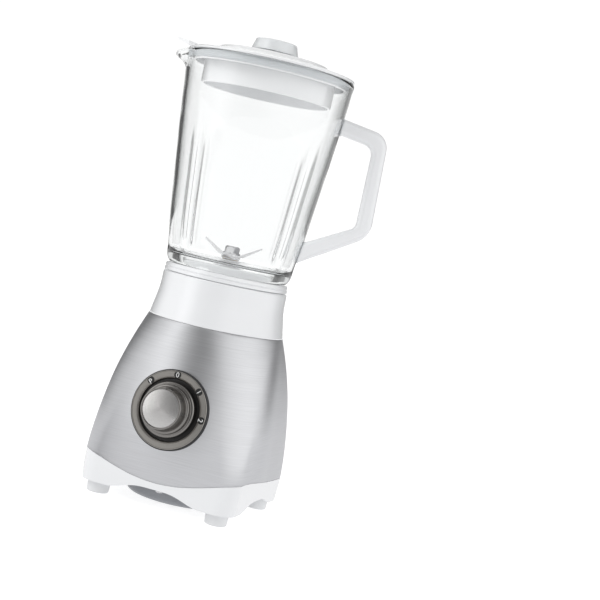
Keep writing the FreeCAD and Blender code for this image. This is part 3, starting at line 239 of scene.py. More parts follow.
# %% One maker for worked metals
def worked_metal(slot, base, roughness, grain, depth=0.000006, spread=0.14, **constants):
    """Grain is the noise's scale per metre along x, y and z: unequal numbers draw it out."""
    finish = Finish(slot, base, roughness, Metallic=1.0, **constants)
    lines = finish.noise(1.0, 4.0, 0.6, finish.place(scale=grain))
    cloud = finish.noise(30.0, 2.0)
    finish.tint(lines * 0.75 + cloud * 0.25, 1.0 - spread, 1.0 + spread)
    finish.feed("Roughness", roughness * 0.8 + lines * (roughness * 0.4))
    finish.relief(lines, depth)
    finishes[slot] = finish
    return finish


worked_metal("screw_steel", (0.62, 0.62, 0.63), 0.28, (900, 900, 900))
worked_metal("lamination_steel", (0.26, 0.25, 0.24), 0.45, (30, 30, 2000), 0.00005, 0.35)
worked_metal("bracket_metal", (0.55, 0.56, 0.57), 0.42, (1500, 1500, 1500), 0.00003)
worked_metal("bearing_steel", (0.68, 0.68, 0.69), 0.2, (60, 60, 3000))
worked_metal("brass", (0.72, 0.52, 0.22), 0.3, (200, 200, 2500))
worked_metal("shaft_steel", (0.58, 0.58, 0.59), 0.25, (60, 60, 4000))
worked_metal("blade_steel", (0.66, 0.66, 0.67), 0.2, (80, 2500, 400), 0.000004)
worked_metal("copper_wire", (0.72, 0.30, 0.13), 0.3, (1400, 1400, 160), 0.00012, 0.3)
print(len(finishes), "finishes so far")

# %% [markdown]
# ## The brushed steel
# The base's steel skin is brushed level, all the way round. Two things make that look: hairlines
# in colour, gloss and height, and a reflection that is smeared across the hairlines. The first
# is noise that is long in x and y and very thin in z, at two sizes. The second is the shader's
# anisotropy, whose grain runs round the z axis when nothing else says where it goes.

# %% Brush the steel
steel = Finish("brushed_steel", (0.60, 0.605, 0.62), 0.30, Metallic=1.0, Anisotropic=0.75)
HAIRLINES = 2600  # to the metre, up the skin
hairlines = steel.noise(1.0, 3.0, 0.6, steel.place(scale=(30, 30, HAIRLINES)))
strokes = steel.noise(1.0, 3.0, 0.55, steel.place(scale=(16, 16, 900)))
worn = hairlines * 0.7 + strokes * 0.3
steel.tint(worn.between(0.3, 0.7), 0.93, 1.06)
steel.feed("Roughness", 0.27 + worn * 0.08)
steel.relief(worn, 0.000004)
finishes["brushed_steel"] = steel
print("steel hairlines every", round(1000 / HAIRLINES, 2), "mm")

# %% [markdown]
# ## The dial's metals
# The dial sits on a plane that leans back a little. Its parts are round about that plane's own
# axis, so their patterns need the distance from that axis. `from_dial_axis` turns object
# coordinates into the dial's own, and the length of their x and y is the radius.

# %% Measure the dial and give it its metals
hinge = next(joint for joint in frame["joints"] if joint["name"] == "knob_turn")
dial_centre = Vector(hinge["pos_m"])
DIAL_TILT = math.radians(7.0)
dial_out = Vector((0, -math.cos(DIAL_TILT), math.sin(DIAL_TILT)))
dial_up = Vector((0, math.sin(DIAL_TILT), math.cos(DIAL_TILT)))
dial_axes = Matrix((Vector((1, 0, 0)), dial_up, dial_out)).transposed().to_4x4()
dial_frame = Matrix.Translation(dial_centre) @ dial_axes
print("dial centre", tuple(round(v, 4) for v in dial_centre))


def from_dial_axis(finish):
    """Radius from the dial's axis, in metres, as a field on the dial's parts."""
    turned_back = finish.place(rotation=(DIAL_TILT - math.pi / 2, 0, 0))
    shift = dial_axes.to_3x3().transposed() @ dial_centre
    centred = finish.node("VectorMath", {"operation": "SUBTRACT"}, {0: turned_back, 1: shift})
    flat = finish.node("VectorMath", {"operation": "MULTIPLY"}, {0: centred, 1: (1, 1, 0)})
    return finish.node("VectorMath", {"operation": "LENGTH"}, {0: flat}, output="Value")


# %% [markdown]
# The ring that carries the marks is dark, warm, anodised metal with a black plastic edge, and
# the channel inside it is painted black: painted shade for the shade that falls in that recess.
# One material does all three, by radius: a mask is 1 off the metal. The knob is turned, so its
# grain runs round it, and its face is spun bright.

# %% Ring and knob metal
ring_metal = Finish("gunmetal", (0.36, 0.35, 0.33), 0.34)
radius = from_dial_axis(ring_metal)
CHANNEL_R, RIM_R = 25.6, 32.0
# The mask is 1 on the black edge and in the channel; the channel's black is painted shade.
black_edge_and_painted_shade = 1 - (radius > CHANNEL_R * MM) * (radius < RIM_R * MM)
grain = ring_metal.noise(900.0, 3.0)
shade = ring_metal.blend(grain, (0.33, 0.315, 0.295, 1), (0.40, 0.385, 0.36, 1))
ring_metal.feed("Base Color", ring_metal.blend(black_edge_and_painted_shade, shade, (0.018, 0.017, 0.017, 1)))
ring_metal.feed("Metallic", 1 - black_edge_and_painted_shade)
ring_metal.feed("Roughness", 0.36 - black_edge_and_painted_shade * 0.10 + grain * 0.05)
ring_metal.relief(grain, 0.000008)
finishes["gunmetal"] = ring_metal

knob_metal = Finish("knob_gunmetal", (0.24, 0.23, 0.22), 0.24, Metallic=1.0)
TURNING_LINES, SPUN_LINES = 3200, 2600.0  # to the metre
turning = knob_metal.noise(1.0, 2.0, 0.5, knob_metal.place(scale=(40, TURNING_LINES, 40)))
knob_metal.tint(turning, 0.85, 1.15)
knob_metal.feed("Roughness", 0.20 + turning * 0.08)
knob_metal.relief(turning, 0.000004)

face_metal = Finish("spun_metal", (0.66, 0.65, 0.64), 0.30, Metallic=1.0)
rings = face_metal.noise(1.0, 2.0, 0.5, from_dial_axis(face_metal) * SPUN_LINES)
face_metal.tint(rings, 0.88, 1.12)
face_metal.feed("Roughness", 0.19 + rings * 0.06)
face_metal.relief(rings, 0.00001)
finishes["spun_metal"] = face_metal
print("dial finishes made")

# %% [markdown]
# ## Clear and frosted
# The jug is thick pressed glass. Its own colour shows only where light travels far inside it,
# along the edges, so the colour comes from absorption in its volume and the surface stays
# clear. Pressed glass is never quite flat, and a broad, shallow relief gives that ripple. The
# cap is a frosted plastic: some light comes through, none of it sharp. The cap also glows
# faintly, painted light that stands for the light passing through it.

# %% Glass and cap
glass = Finish("clear_glass", (0.985, 0.99, 0.99), 0.0, Transmission_Weight=1.0, IOR=1.47)
ripple = glass.noise(26.0, 1.0)
glass.relief(ripple, 0.0004)
glass.feed("Roughness", 0.004 + ripple * 0.008)
inside = glass.node("VolumeAbsorption", {}, {"Color": (0.62, 0.645, 0.64, 1), "Density": 20.0})
output = next(n for n in glass.tree.nodes if n.bl_idname == "ShaderNodeOutputMaterial")
glass.tree.links.new(inside.socket, output.inputs["Volume"])
finishes["clear_glass"] = glass

# The cap's faint emission is painted light: a glow for the light that comes through it.
frosted = Finish("frosted_cap", (0.93, 0.95, 0.96), 0.25, Transmission_Weight=0.35, IOR=1.45,
                 Emission_Color=(1, 1, 1, 1), Emission_Strength=0.02,
                 Coat_Weight=1.0, Coat_Roughness=0.1)
speckle = frosted.noise(1400.0, 2.0)
frosted.tint(speckle, 0.97, 1.03)
frosted.feed("Roughness", 0.28 + speckle * 0.12)
frosted.relief(speckle, 0.00001)
finishes["frosted_cap"] = frosted
print("clear finishes made")

# %% [markdown]
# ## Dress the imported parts
# The record says which finish each part takes. A part's shape is its mesh's business, so only
# the material in its slots changes.

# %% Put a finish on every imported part
slot_of = {part["node"]: part["material_slot"] for part in frame["record"]["subparts"]}


def dress(name, finish=None):
    mesh = nodes[name].data
    mesh.materials.clear()
    mesh.materials.append((finish or finishes[slot_of[name]]).material)


for name in nodes:
    dress(name)
# The lid takes the lighter white, which is painted light.
dress("lid", lid_white)
print(len(nodes), "parts dressed in", len(set(slot_of.values())), "finishes")

# %% [markdown]
# ## Turned parts
# Most of this blender is round. A turned part is a closed outline of (radius, height) corners
# swept round an axis, so one helper makes them all: `rounded` cuts each corner with an arc, as
# a mould has, and `turned_mesh` sweeps the result and gives it a UV map. Doubles are merged and
# normals recalculated, because the seam and the poles are otherwise open.

# %% Outline, sweep and finished piece
def rounded(corners, steps=5):
    """Outline points in millimetres from corners (x, z) or (x, z, radius of the corner)."""
    points = []
    for i, corner in enumerate(corners):
        here = Vector(corner[:2])
        radius = corner[2] if len(corner) > 2 else 0.0
        if not radius:
            points.append(here)
            continue
        before = (Vector(corners[i - 1][:2]) - here).normalized()
        after = (Vector(corners[(i + 1) % len(corners)][:2]) - here).normalized()
        half = before.angle(after) / 2
        centre = here + (before + after).normalized() * (radius / math.sin(half))
        start = here + before * (radius / math.tan(half)) - centre
        sweep = math.pi - 2 * half
        if start.x * after.y - start.y * after.x < 0:
            sweep = -sweep
        for step in range(steps + 1):
            points.append(centre + Matrix.Rotation(sweep * step / steps, 2) @ start)
    return points


def finished(name, mesh, body, slot, replaces=(), finish=None, sharp=38.0):
    """Link a piece, shade it, and say which body it rides on and which part it stands for."""
    mesh.materials.clear()
    mesh.materials.append((finish or finishes[slot]).material)
    mesh.polygons.foreach_set("use_smooth", [True] * len(mesh.polygons))
    if sharp and not mesh.has_custom_normals:
        mesh.set_sharp_from_angle(angle=math.radians(sharp))
    piece = bpy.data.objects.new(name, mesh)
    bpy.context.scene.collection.objects.link(piece)
    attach(piece, body)
    if replaces:
        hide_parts(*replaces)
    print(name, len(mesh.vertices), "vertices")
    return piece


def turned_mesh(name, outline, count=128, place=Matrix.Identity(4)):
    """Sweep a closed outline of (radius, height) points round z, then put it in its place."""
    form = bmesh.new()
    uv = form.loops.layers.uv.new("UVMap")
    columns = []
    for i in range(count):
        across, along = math.cos(2 * math.pi * i / count), math.sin(2 * math.pi * i / count)
        columns.append([form.verts.new((r * across * MM, r * along * MM, z * MM)) for r, z in outline])
    rows = len(outline)
    for i in range(count):
        here, beyond = columns[i], columns[(i + 1) % count]
        for j in range(rows):
            k = (j + 1) % rows
            if outline[j][0] < 1e-6 and outline[k][0] < 1e-6:
                continue
            face = form.faces.new((here[j], beyond[j], beyond[k], here[k]))
            for loop, (u, v) in zip(face.loops, ((i, j), (i + 1, j), (i + 1, j + 1), (i, j + 1))):
                loop[uv].uv = (u / count, v / rows)
    bmesh.ops.remove_doubles(form, verts=form.verts, dist=1e-7)
    bmesh.ops.dissolve_degenerate(form, edges=form.edges, dist=1e-8)
    bmesh.ops.recalc_face_normals(form, faces=form.faces)
    form.transform(place)
    mesh = bpy.data.meshes.new(name)
    form.to_mesh(mesh)
    form.free()
    return mesh


print("turning helpers ready")

# %% [markdown]
# ## The base's outer form
# The base is a rounded square at the foot and a circle at the neck, and its sides curve in
# between. Nine level sections say so: how wide each is, and how far its corners have opened. A
# smooth curve through them gives the section at any height, and a point on the form is then a
# fraction of the way round at that height.

# %% Sections and points on the base
BASE_HALF, BASE_CORNER, SKIN_TOP_R = 69.0, 15.6, 57.6
TRAY_Z, SKIN_TOP_Z = 10.0, 153.0
SECTIONS = ((0.00, 0.89, 0.00), (0.12, 0.99, 0.00), (0.25, 0.97, 0.03), (0.40, 0.88, 0.12),
            (0.52, 0.74, 0.18), (0.64, 0.56, 0.25), (0.76, 0.37, 0.41), (0.88, 0.18, 0.66),
            (1.00, 0.00, 1.00))


def through(points, x):
    """Smooth curve through (x, y) points, read at x."""
    last = len(points) - 1
    i = max(0, min(last - 1, sum(p[0] <= x for p in points) - 1))
    (x0, y0), (x1, y1) = points[i], points[i + 1]

    def slope(k):
        a, b = points[max(k - 1, 0)], points[min(k + 1, last)]
        return (b[1] - a[1]) / (b[0] - a[0])

    width = x1 - x0
    t = min(max((x - x0) / width, 0.0), 1.0)
    return ((1 + 2 * t) * (1 - t) ** 2 * y0 + t * (1 - t) ** 2 * width * slope(i)
            + t * t * (3 - 2 * t) * y1 + t * t * (t - 1) * width * slope(i + 1))


HALF_AT = [(share, SKIN_TOP_R + wide * (BASE_HALF - SKIN_TOP_R)) for share, wide, _ in SECTIONS]
TOP_FLAT = 0.8
OPENING = SKIN_TOP_R - TOP_FLAT - BASE_CORNER
CORNER_AT = [(share, BASE_CORNER + opened * OPENING) for share, _, opened in SECTIONS]
FLAT_STEPS, ARC_STEPS = 14, 10
AROUND = 8 * (FLAT_STEPS + ARC_STEPS)


def on_form(step, z, inset=0.0):
    """Point (x, y) in millimetres at a step round the base, at a height, inside by an inset."""
    share = min(max((z - TRAY_Z) / (SKIN_TOP_Z - TRAY_Z), 0.0), 1.0)
    half, corner = through(HALF_AT, share), through(CORNER_AT, share)
    flat = half - corner
    quarter, along = divmod(step % AROUND, AROUND // 4)
    along -= FLAT_STEPS
    if along <= FLAT_STEPS:
        if along < -FLAT_STEPS:
            along = -FLAT_STEPS
        x, y = half - inset, flat * along / FLAT_STEPS
    else:
        turn = math.pi / 2 * (along - FLAT_STEPS) / (2 * ARC_STEPS)
        x = flat + (corner - inset) * math.cos(turn)
        y = flat + (corner - inset) * math.sin(turn)
    turn = math.pi / 2 * quarter
    return x * math.cos(turn) - y * math.sin(turn), x * math.sin(turn) + y * math.cos(turn)


front = min(on_form(step, 60)[1] for step in range(AROUND))
print("steps round the base:", AROUND, "and its front is at", round(front, 2), "mm")

# %% [markdown]
# ## The steel's lower edge
# Where the steel meets the white tray the edge dips in a smile across the front, and runs
# nearly level along the sides. The line is two smooth curves: one by x across the front, and
# one by y along the sides and the back.

# %% The wave
FRONT_WAVE = [(-1.5, 36.2), (-1.0, 36.2), (-0.87, 34.726), (-0.72, 31.912), (-0.51, 27.758),
              (-0.3, 24.542), (0.0, 22.8)]
FRONT_WAVE += [(-x, z) for x, z in reversed(FRONT_WAVE[:-1])]
BREAK_Y = BASE_CORNER - BASE_HALF
SIDE_WAVE = [(BREAK_Y - 10, 36.4), (BREAK_Y, 36.2), (BREAK_Y + 27.6, 35.2), (0.0, 32.8),
             (41.4, 30.6), (103.5, 30.0)]


def wave(x, y):
    return through(FRONT_WAVE, x / BASE_HALF) if y < BREAK_Y else through(SIDE_WAVE, y)


def edge_height(step):
    """Height of the edge at a step round the base, found by walking to it."""
    z = 30.0
    for _ in range(4):
        z = wave(*on_form(step, z))
    return z


EDGE = [edge_height(step) for step in range(AROUND)]
print("edge between", round(min(EDGE), 1), "and", round(max(EDGE), 1), "mm")

# %% [markdown]
# ## A wall on the base's form
# The steel skin is a wall that follows the form: an outside, an inside, and two edges that roll
# over between them. It has two round holes, for the dial and for the cord's grommet: faces are
# taken out and the rim is drawn on to a circle. The outside of a pressed panel is never flat
# between its corners, it crowns a little, and that shows in how reflections bend. So each
# normal is turned part of the way towards the direction that points straight out from the axis.

# %% Build such a wall
SKIN_T, SKIN_ROWS, EDGE_ROLL, CROWN, MOST_CROWNED = 0.6, 56, 0.22, 0.85, 1.2
DIAL_HOLE_R, OUTLET_R, HOLE_DEPTH = 32.0, 4.2, 12.0


def form_wall(lows, high, wall, rows, edge, crown):
    """Closed wall from a low edge at each step up to one height, as rows round the base."""
    edge_low = [(wall, edge), (wall * 0.6, 0.0), (edge * 0.3, edge * 0.15), (0.0, edge)]
    levels = [(inset, rise, 0.0) for inset, rise in edge_low]
    levels += [(0.0, None, row / rows) for row in range(1, rows)]
    levels += [(inset, -rise, 1.0) for inset, rise in reversed(edge_low)]
    levels += [(wall, None, row / rows) for row in range(rows - 1, 0, -1)]
    rings = []
    for inset, rise, share in levels:
        ring = []
        for step in range(AROUND):
            low = lows[step]
            z = low + edge + share * (high - low - 2 * edge)
            if rise is not None:
                z = (low, high)[int(share)] + rise
            ring.append((*on_form(step, z, inset), z))
        rings.append(ring)
    form = bmesh.new()
    uv = form.loops.layers.uv.new("UVMap")
    verts = [[form.verts.new([c * MM for c in point]) for point in ring] for ring in rings]
    for j in range(len(rings)):
        k = (j + 1) % len(rings)
        for i in range(AROUND):
            n = (i + 1) % AROUND
            face = form.faces.new((verts[j][i], verts[j][n], verts[k][n], verts[k][i]))
            for loop, (u, v) in zip(face.loops, ((i, j), (i + 1, j), (i + 1, j + 1), (i, j + 1))):
                loop[uv].uv = (u / AROUND, v / len(rings))
    form.normal_update()
    crowned = form.verts.layers.float_vector.new("crowned")
    for vert in form.verts:
        flat = math.atan2(vert.normal.y, vert.normal.x)
        outward = math.atan2(vert.co.y, vert.co.x)
        away = (outward - flat + math.pi) % (2 * math.pi) - math.pi
        turn = crown * away if abs(away) < MOST_CROWNED else 0.0
        vert[crowned] = Matrix.Rotation(turn, 3, "Z") @ vert.normal
    return form


def cut_round(form, frame_inverse, radius, near):
    """Open a round hole: faces inside it go, and the points left on its edge move on to it."""
    inside = []
    for face in form.faces:
        local = frame_inverse @ face.calc_center_median()
        if abs(local.z) < near and math.hypot(local.x, local.y) < radius:
            inside.append(face)
    bmesh.ops.delete(form, geom=inside, context="FACES")
    for vert in form.verts:
        if vert.is_boundary:
            local = frame_inverse @ vert.co
            reach = math.hypot(local.x, local.y)
            if abs(local.z) < near and reach < radius * 1.6:
                local.x, local.y = local.x * radius / reach, local.y * radius / reach
                vert.co = frame_inverse.inverted() @ local
    rim = [edge for edge in form.edges if edge.is_boundary]
    bmesh.ops.bridge_loops(form, edges=rim)


def crowned_mesh(name, form):
    """Turn the form into a mesh that keeps its crowned normals."""
    mesh = bpy.data.meshes.new(name)
    form.to_mesh(mesh)
    form.free()
    mesh.polygons.foreach_set("use_smooth", [True] * len(mesh.polygons))
    normals = [tuple(item.vector) for item in mesh.attributes["crowned"].data]
    mesh.normals_split_custom_set_from_vertices(normals)
    mesh.attributes.remove(mesh.attributes["crowned"])
    return mesh


steel_form = form_wall(EDGE, SKIN_TOP_Z, SKIN_T, SKIN_ROWS, EDGE_ROLL, CROWN)
cut_round(steel_form, dial_frame.inverted(), DIAL_HOLE_R * MM, HOLE_DEPTH * MM)
grommet_low, grommet_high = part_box("cord_grommet")
outlet = Vector((0, grommet_high.y, (grommet_low.z + grommet_high.z) / 2))
outlet_frame = Matrix.Translation(outlet) @ Matrix.Rotation(-math.pi / 2, 4, "X")
cut_round(steel_form, outlet_frame.inverted(), OUTLET_R * MM, HOLE_DEPTH * MM)
skin_mesh = crowned_mesh("brushed_skin", steel_form)
finished("brushed_skin", skin_mesh, "base", "brushed_steel", ("steel_skin",))

# %% [markdown]
# ## The dial
# The bezel, the knob and its bright face are turned parts on the dial's tilted axis, so they
# are swept about z and then put in the dial's frame. The knob carries a small notch that shows
# which mark it is at: a boolean cut from a cone, as a cutter would make it. The face is spun
# metal: it is slightly domed and its rings are real grooves, hundredths of a millimetre deep. A
# black gasket closes the gap between the bezel and the steel.

# %% Bezel and gasket
def in_dial_frame(name, outline, count=160):
    return turned_mesh(name, outline, count, dial_frame)


bezel_outline = rounded(((4.5, -1.0), (31.0, -1.0), (31.0, -7.0), (32.1, -7.0), (32.1, 4.4, 0.4),
                         (31.7, 5.0, 0.3), (31.5, 5.0, 0.1), (31.2, 4.7, 0.3), (30.6, 4.7, 0.4),
                         (27.4, 4.75, 2.0), (26.0, 4.1, 0.5), (CHANNEL_R, 1.2, 0.5), (4.5, 1.0)))
bezel_mesh = in_dial_frame("bezel_ring", bezel_outline)
finished("bezel_ring", bezel_mesh, "base", "gunmetal", ("dial_bezel",))
gasket_outline = rounded(((32.1, -7.0), (33.0, -7.0), (33.0, 3.4, 0.5), (32.5, 4.1, 0.3), (32.1, 4.1)))
finished("bezel_gasket", in_dial_frame("bezel_gasket", gasket_outline), "base", "black_rubber")

# %% Knob and face
notch_mesh = bpy.data.meshes.new("notch_cutter")
form = bmesh.new()
bmesh.ops.create_cone(form, cap_ends=True, segments=32, radius1=0.6 * MM, radius2=3.2 * MM,
                      depth=5.2 * MM)
bmesh.ops.translate(form, verts=form.verts, vec=Vector((0, 17.2, 24.2)) * MM)
form.transform(dial_frame)
form.to_mesh(notch_mesh)
form.free()
notch = bpy.data.objects.new("notch_cutter", notch_mesh)
bpy.context.scene.collection.objects.link(notch)


def notched(mesh):
    """The mesh with the notch cut out, as a plain mesh."""
    block = bpy.data.objects.new("notched", mesh)
    bpy.context.scene.collection.objects.link(block)
    cut = block.modifiers.new("notch", "BOOLEAN")
    cut.operation, cut.object, cut.solver = "DIFFERENCE", notch, "EXACT"
    bpy.context.view_layer.update()
    evaluated = block.evaluated_get(bpy.context.evaluated_depsgraph_get())
    result = bpy.data.meshes.new_from_object(evaluated)
    result.name = mesh.name
    bpy.data.objects.remove(block)
    return result


knob_outline = rounded(((0, 6.0), (16.6, 6.0), (16.6, 1.9), (22.6, 1.9), (22.6, 9.0, 1.5),
                        (20.2, 9.0, 0.5), (19.7, 13.2, 0.9), (18.3, 13.6, 0.4), (17.9, 15.0, 0.8),
                        (16.8, 24.9, 0.9), (15.6, 24.9, 0.4), (15.4, 23.6), (0, 23.6)))
knob_mesh = notched(in_dial_frame("dial_knob", knob_outline))
finished("dial_knob", knob_mesh, "knob", "gunmetal", ("knob",), knob_metal)

GROOVE_PITCH, GROOVE_DEPTH, FACE_R, FACE_CROWN = 0.6, 0.02, 15.3, 0.95
FACE_LOW, FACE_TOP = 24.0, 24.95
face_points = [Vector((0, FACE_LOW)), Vector((FACE_R, FACE_LOW))]
groove_rows = int(FACE_R / GROOVE_PITCH * 4)
for row in range(groove_rows, 0, -1):
    reach = FACE_R * row / groove_rows
    groove = GROOVE_DEPTH * math.sin(2 * math.pi * reach / GROOVE_PITCH)
    dome = FACE_TOP - FACE_CROWN * (reach / FACE_R) ** 2
    face_points.append(Vector((reach, dome + groove)))
face_points.append(Vector((0, FACE_TOP)))
face_mesh = notched(in_dial_frame("dial_face", face_points, 120))
finished("dial_face", face_mesh, "knob", "spun_metal", ("knob_face",), sharp=60.0)
bpy.data.objects.remove(notch)

# %% [markdown]
# ## The marks round the dial
# Four black spots stand at equal steps on the bezel, one for each position of the knob. What
# repeats is a job for Geometry Nodes: points are laid on an arc, a disc is set on each, and the
# tree ends in Realize Instances and Set Material. The marks themselves are letters and
# numbers, made from text that becomes a mesh before it is moved.

# %% A small helper for node trees, and the spots
class Tree:
    """A Geometry Nodes tree with named inputs; `add` makes every node in it."""

    def __init__(self, name, inputs):
        self.group = bpy.data.node_groups.new(name, "GeometryNodeTree")
        face = self.group.interface
        self.sockets = {}
        for title, kind, value in inputs:
            socket = face.new_socket(name=title, in_out="INPUT", socket_type="NodeSocket" + kind)
            self.sockets[title] = (socket.identifier, value)
        face.new_socket(name="Geometry", in_out="OUTPUT", socket_type="NodeSocketGeometry")
        self.source = self.group.nodes.new("NodeGroupInput")
        self.end = self.group.nodes.new("NodeGroupOutput")

    def given(self, title):
        return self.source.outputs[title]

    def add(self, kind, settings=None, values=None, output=0):
        made = self.group.nodes.new(kind)
        for name, value in (settings or {}).items():
            setattr(made, name, value)
        for socket, value in (values or {}).items():
            if isinstance(value, bpy.types.NodeSocket):
                self.group.links.new(value, made.inputs[socket])
            else:
                made.inputs[socket].default_value = value
        return made.outputs[output]

    def maths(self, operation, first, second=0.0):
        return self.add("ShaderNodeMath", {"operation": operation}, {0: first, 1: second})

    def result(self, geometry, name, start=None):
        """Run the tree on a mesh and return what it makes as a plain mesh."""
        whole = self.add("GeometryNodeRealizeInstances", {}, {0: geometry})
        paint = {"Geometry": whole, "Material": self.given("Finish")}
        painted = self.add("GeometryNodeSetMaterial", {}, paint)
        self.group.links.new(painted, self.end.inputs[0])
        carrier = bpy.data.objects.new(name, start or bpy.data.meshes.new(name))
        bpy.context.scene.collection.objects.link(carrier)
        modifier = carrier.modifiers.new(name, "NODES")
        modifier.node_group = self.group
        for identifier, value in self.sockets.values():
            if value is not None:
                modifier[identifier] = value
        bpy.context.view_layer.update()
        evaluated = carrier.evaluated_get(bpy.context.evaluated_depsgraph_get())
        mesh = bpy.data.meshes.new_from_object(evaluated)
        mesh.name = name
        bpy.data.objects.remove(carrier)
        return mesh


spot_black = Finish("spot_black", (0.012, 0.012, 0.012), 0.3)
paint_grain = spot_black.noise(2500.0, 2.0)
spot_black.feed("Roughness", 0.25 + paint_grain * 0.15)
spot_black.tint(paint_grain, 0.7, 1.3)
MARKS, MARK_R, MARK_STEP, MARK_FIRST = "P012", 28.9, math.radians(47.0), math.radians(-47.0)

spots = Tree("dial_spots", (("Marks", "Int", len(MARKS)), ("Ring radius", "Float", MARK_R * MM),
                            ("First angle", "Float", MARK_FIRST), ("Step angle", "Float", MARK_STEP),
                            ("Spot radius", "Float", 3.0 * MM), ("Height", "Float", 4.78 * MM),
                            ("Finish", "Material", spot_black.material)))
index = spots.add("GeometryNodeInputIndex")
stepped = spots.maths("MULTIPLY", index, spots.given("Step angle"))
angle = spots.maths("ADD", spots.given("First angle"), stepped)
across = spots.maths("MULTIPLY", spots.maths("SINE", angle), spots.given("Ring radius"))
upward = spots.maths("MULTIPLY", spots.maths("COSINE", angle), spots.given("Ring radius"))
place = spots.add("ShaderNodeCombineXYZ", {}, {0: across, 1: upward, 2: spots.given("Height")})
points = spots.add("GeometryNodePoints", {}, {"Count": spots.given("Marks"), "Position": place})
disc = spots.add("GeometryNodeMeshCylinder", {"fill_type": "NGON"},
                 {"Vertices": 40, "Radius": spots.given("Spot radius"), "Depth": 0.12 * MM})
set_out = spots.add("GeometryNodeInstanceOnPoints", {}, {"Points": points, "Instance": disc})
spot_mesh = spots.result(set_out, "dial_spots")
spot_mesh.transform(dial_frame)
finished("dial_spots", spot_mesh, "base", "black_plastic", finish=spot_black)

# %% [markdown]
# ## The characters
# The marks are thin text laid over the spots, which keeps their edges crisp at any distance.
# Each is centred on its own middle, and turned so that its foot points at the dial's axis.

# %% The characters
mark_white = Finish("mark_white", (0.86, 0.86, 0.85), 0.45)
mark_white.tint(mark_white.noise(3000.0, 2.0), 0.95, 1.03)
for count, sign in enumerate(MARKS):
    letters = bpy.data.curves.new("mark_" + sign, "FONT")
    letters.body, letters.size, letters.extrude = sign, 5.8 * MM, 0.05 * MM
    letters.align_x, letters.align_y = "CENTER", "CENTER"
    carrier = bpy.data.objects.new("mark", letters)
    bpy.context.scene.collection.objects.link(carrier)
    bpy.context.view_layer.update()
    evaluated = carrier.evaluated_get(bpy.context.evaluated_depsgraph_get())
    mesh = bpy.data.meshes.new_from_object(evaluated)
    bpy.data.objects.remove(carrier)
    middle = sum((v.co for v in mesh.vertices), Vector()) / len(mesh.vertices)
    mesh.transform(Matrix.Translation(-middle))
    turn = Matrix.Rotation(-(MARK_FIRST + MARK_STEP * count), 4, "Z")
    mesh.transform(dial_frame @ turn @ Matrix.Translation((0, MARK_R * MM, 4.9 * MM)))
    mesh.name = "mark_" + sign
    finished("mark_" + sign, mesh, "base", "white_gloss", finish=mark_white)

# %% [markdown]
# ## The glass jug
# The jug is a turned vessel that a mould has pressed out of round: four ribs run up inside it
# and a spout swells from the rim. Its profile is swept first, and Geometry Nodes then moves each
# point in or out by a rule of its angle and height, with the rib's depth and the spout's reach
# as named inputs. Both walls move together, so the glass keeps its thickness.

# %% Sweep the vessel, then press it
GLASS_Z, JUG_H, LOW_R, TOP_R, GLASS_WALL, FLOOR_T = 198.6, 176.4, 50.4, 71.7, 3.2, 8.0
GLASS_TOP = GLASS_Z + JUG_H
PROFILE = ((0, 0), (.01, .07), (.03, .14), (.053, .17), (.09, .2), (.14, .265), (.21, .35),
           (.3, .435), (.4, .52), (.52, .63), (.63, .73), (.74, .823), (.83, .888), (.895, .935),
           (.935, .958), (.958, .972), (.97, .995), (.988, 1.0), (1, .972))
JUG_TURN = math.radians(18.8)
LIP, HEEL = 5.0, 5.0


def glass_radius(z):
    return LOW_R + (TOP_R - LOW_R) * through(PROFILE, (z - GLASS_Z) / JUG_H)


outer_heights = (GLASS_Z + 0.4 + (JUG_H - 1.6) * i / 100 for i in range(101))
outer_wall = [(glass_radius(z), z) for z in outer_heights]
inner_low = GLASS_Z + FLOOR_T
inner_heights = (GLASS_TOP - LIP - (JUG_H - LIP - FLOOR_T - HEEL) * i / 90 for i in range(91))
inner_wall = [(glass_radius(GLASS_TOP - LIP) - GLASS_WALL, GLASS_TOP - 1.0)]
inner_wall += [(glass_radius(z) - GLASS_WALL, z) for z in inner_heights]
low_in = inner_wall[-1][0]
outline = [(49.7, GLASS_Z)] + outer_wall
outline += [(TOP_R - 1.1, GLASS_TOP - 0.4), (TOP_R - 1.8, GLASS_TOP - 0.05),
            (TOP_R - 2.8, GLASS_TOP - 0.3)] + inner_wall
outline += [(low_in - 0.5, inner_low + 2.6), (low_in - 1.4, inner_low + 1.0),
            (low_in - 3.2, inner_low + 0.2), (low_in - 5.5, inner_low), (40.0, inner_low)]
outline += [(40.0, 180.6), (44.5, 180.6), (44.5, 183.6), (45.4, 184.0), (45.4, 185.2),
            (44.5, 185.6), (44.5, 188.6), (45.4, 189.0), (45.4, 190.2), (44.5, 190.6),
            (44.5, GLASS_Z)]
vessel = turned_mesh("glass_vessel", outline, 288)

press = Tree("press_glass", (("Geometry", "Geometry", None), ("Rib depth", "Float", 2.2 * MM),
                             ("Rib half angle", "Float", math.radians(8.0)),
                             ("Rib low", "Float", (GLASS_Z + FLOOR_T + 2.0) * MM),
                             ("Rib high", "Float", (GLASS_TOP - 48.0) * MM),
                             ("Spout reach", "Float", 8.8 * MM),
                             ("Spout half angle", "Float", math.radians(21.0)),
                             ("Spout low", "Float", (GLASS_TOP - 16.0) * MM),
                             ("Finish", "Material", glass.material)))
position = press.add("GeometryNodeInputPosition")
parts = press.add("ShaderNodeSeparateXYZ", {}, {0: position})
px, py, pz = (parts.node.outputs[axis] for axis in "XYZ")
heading = press.maths("ARCTAN2", py, px)


def clipped(value):
    return press.add("ShaderNodeClamp", {}, {0: value})


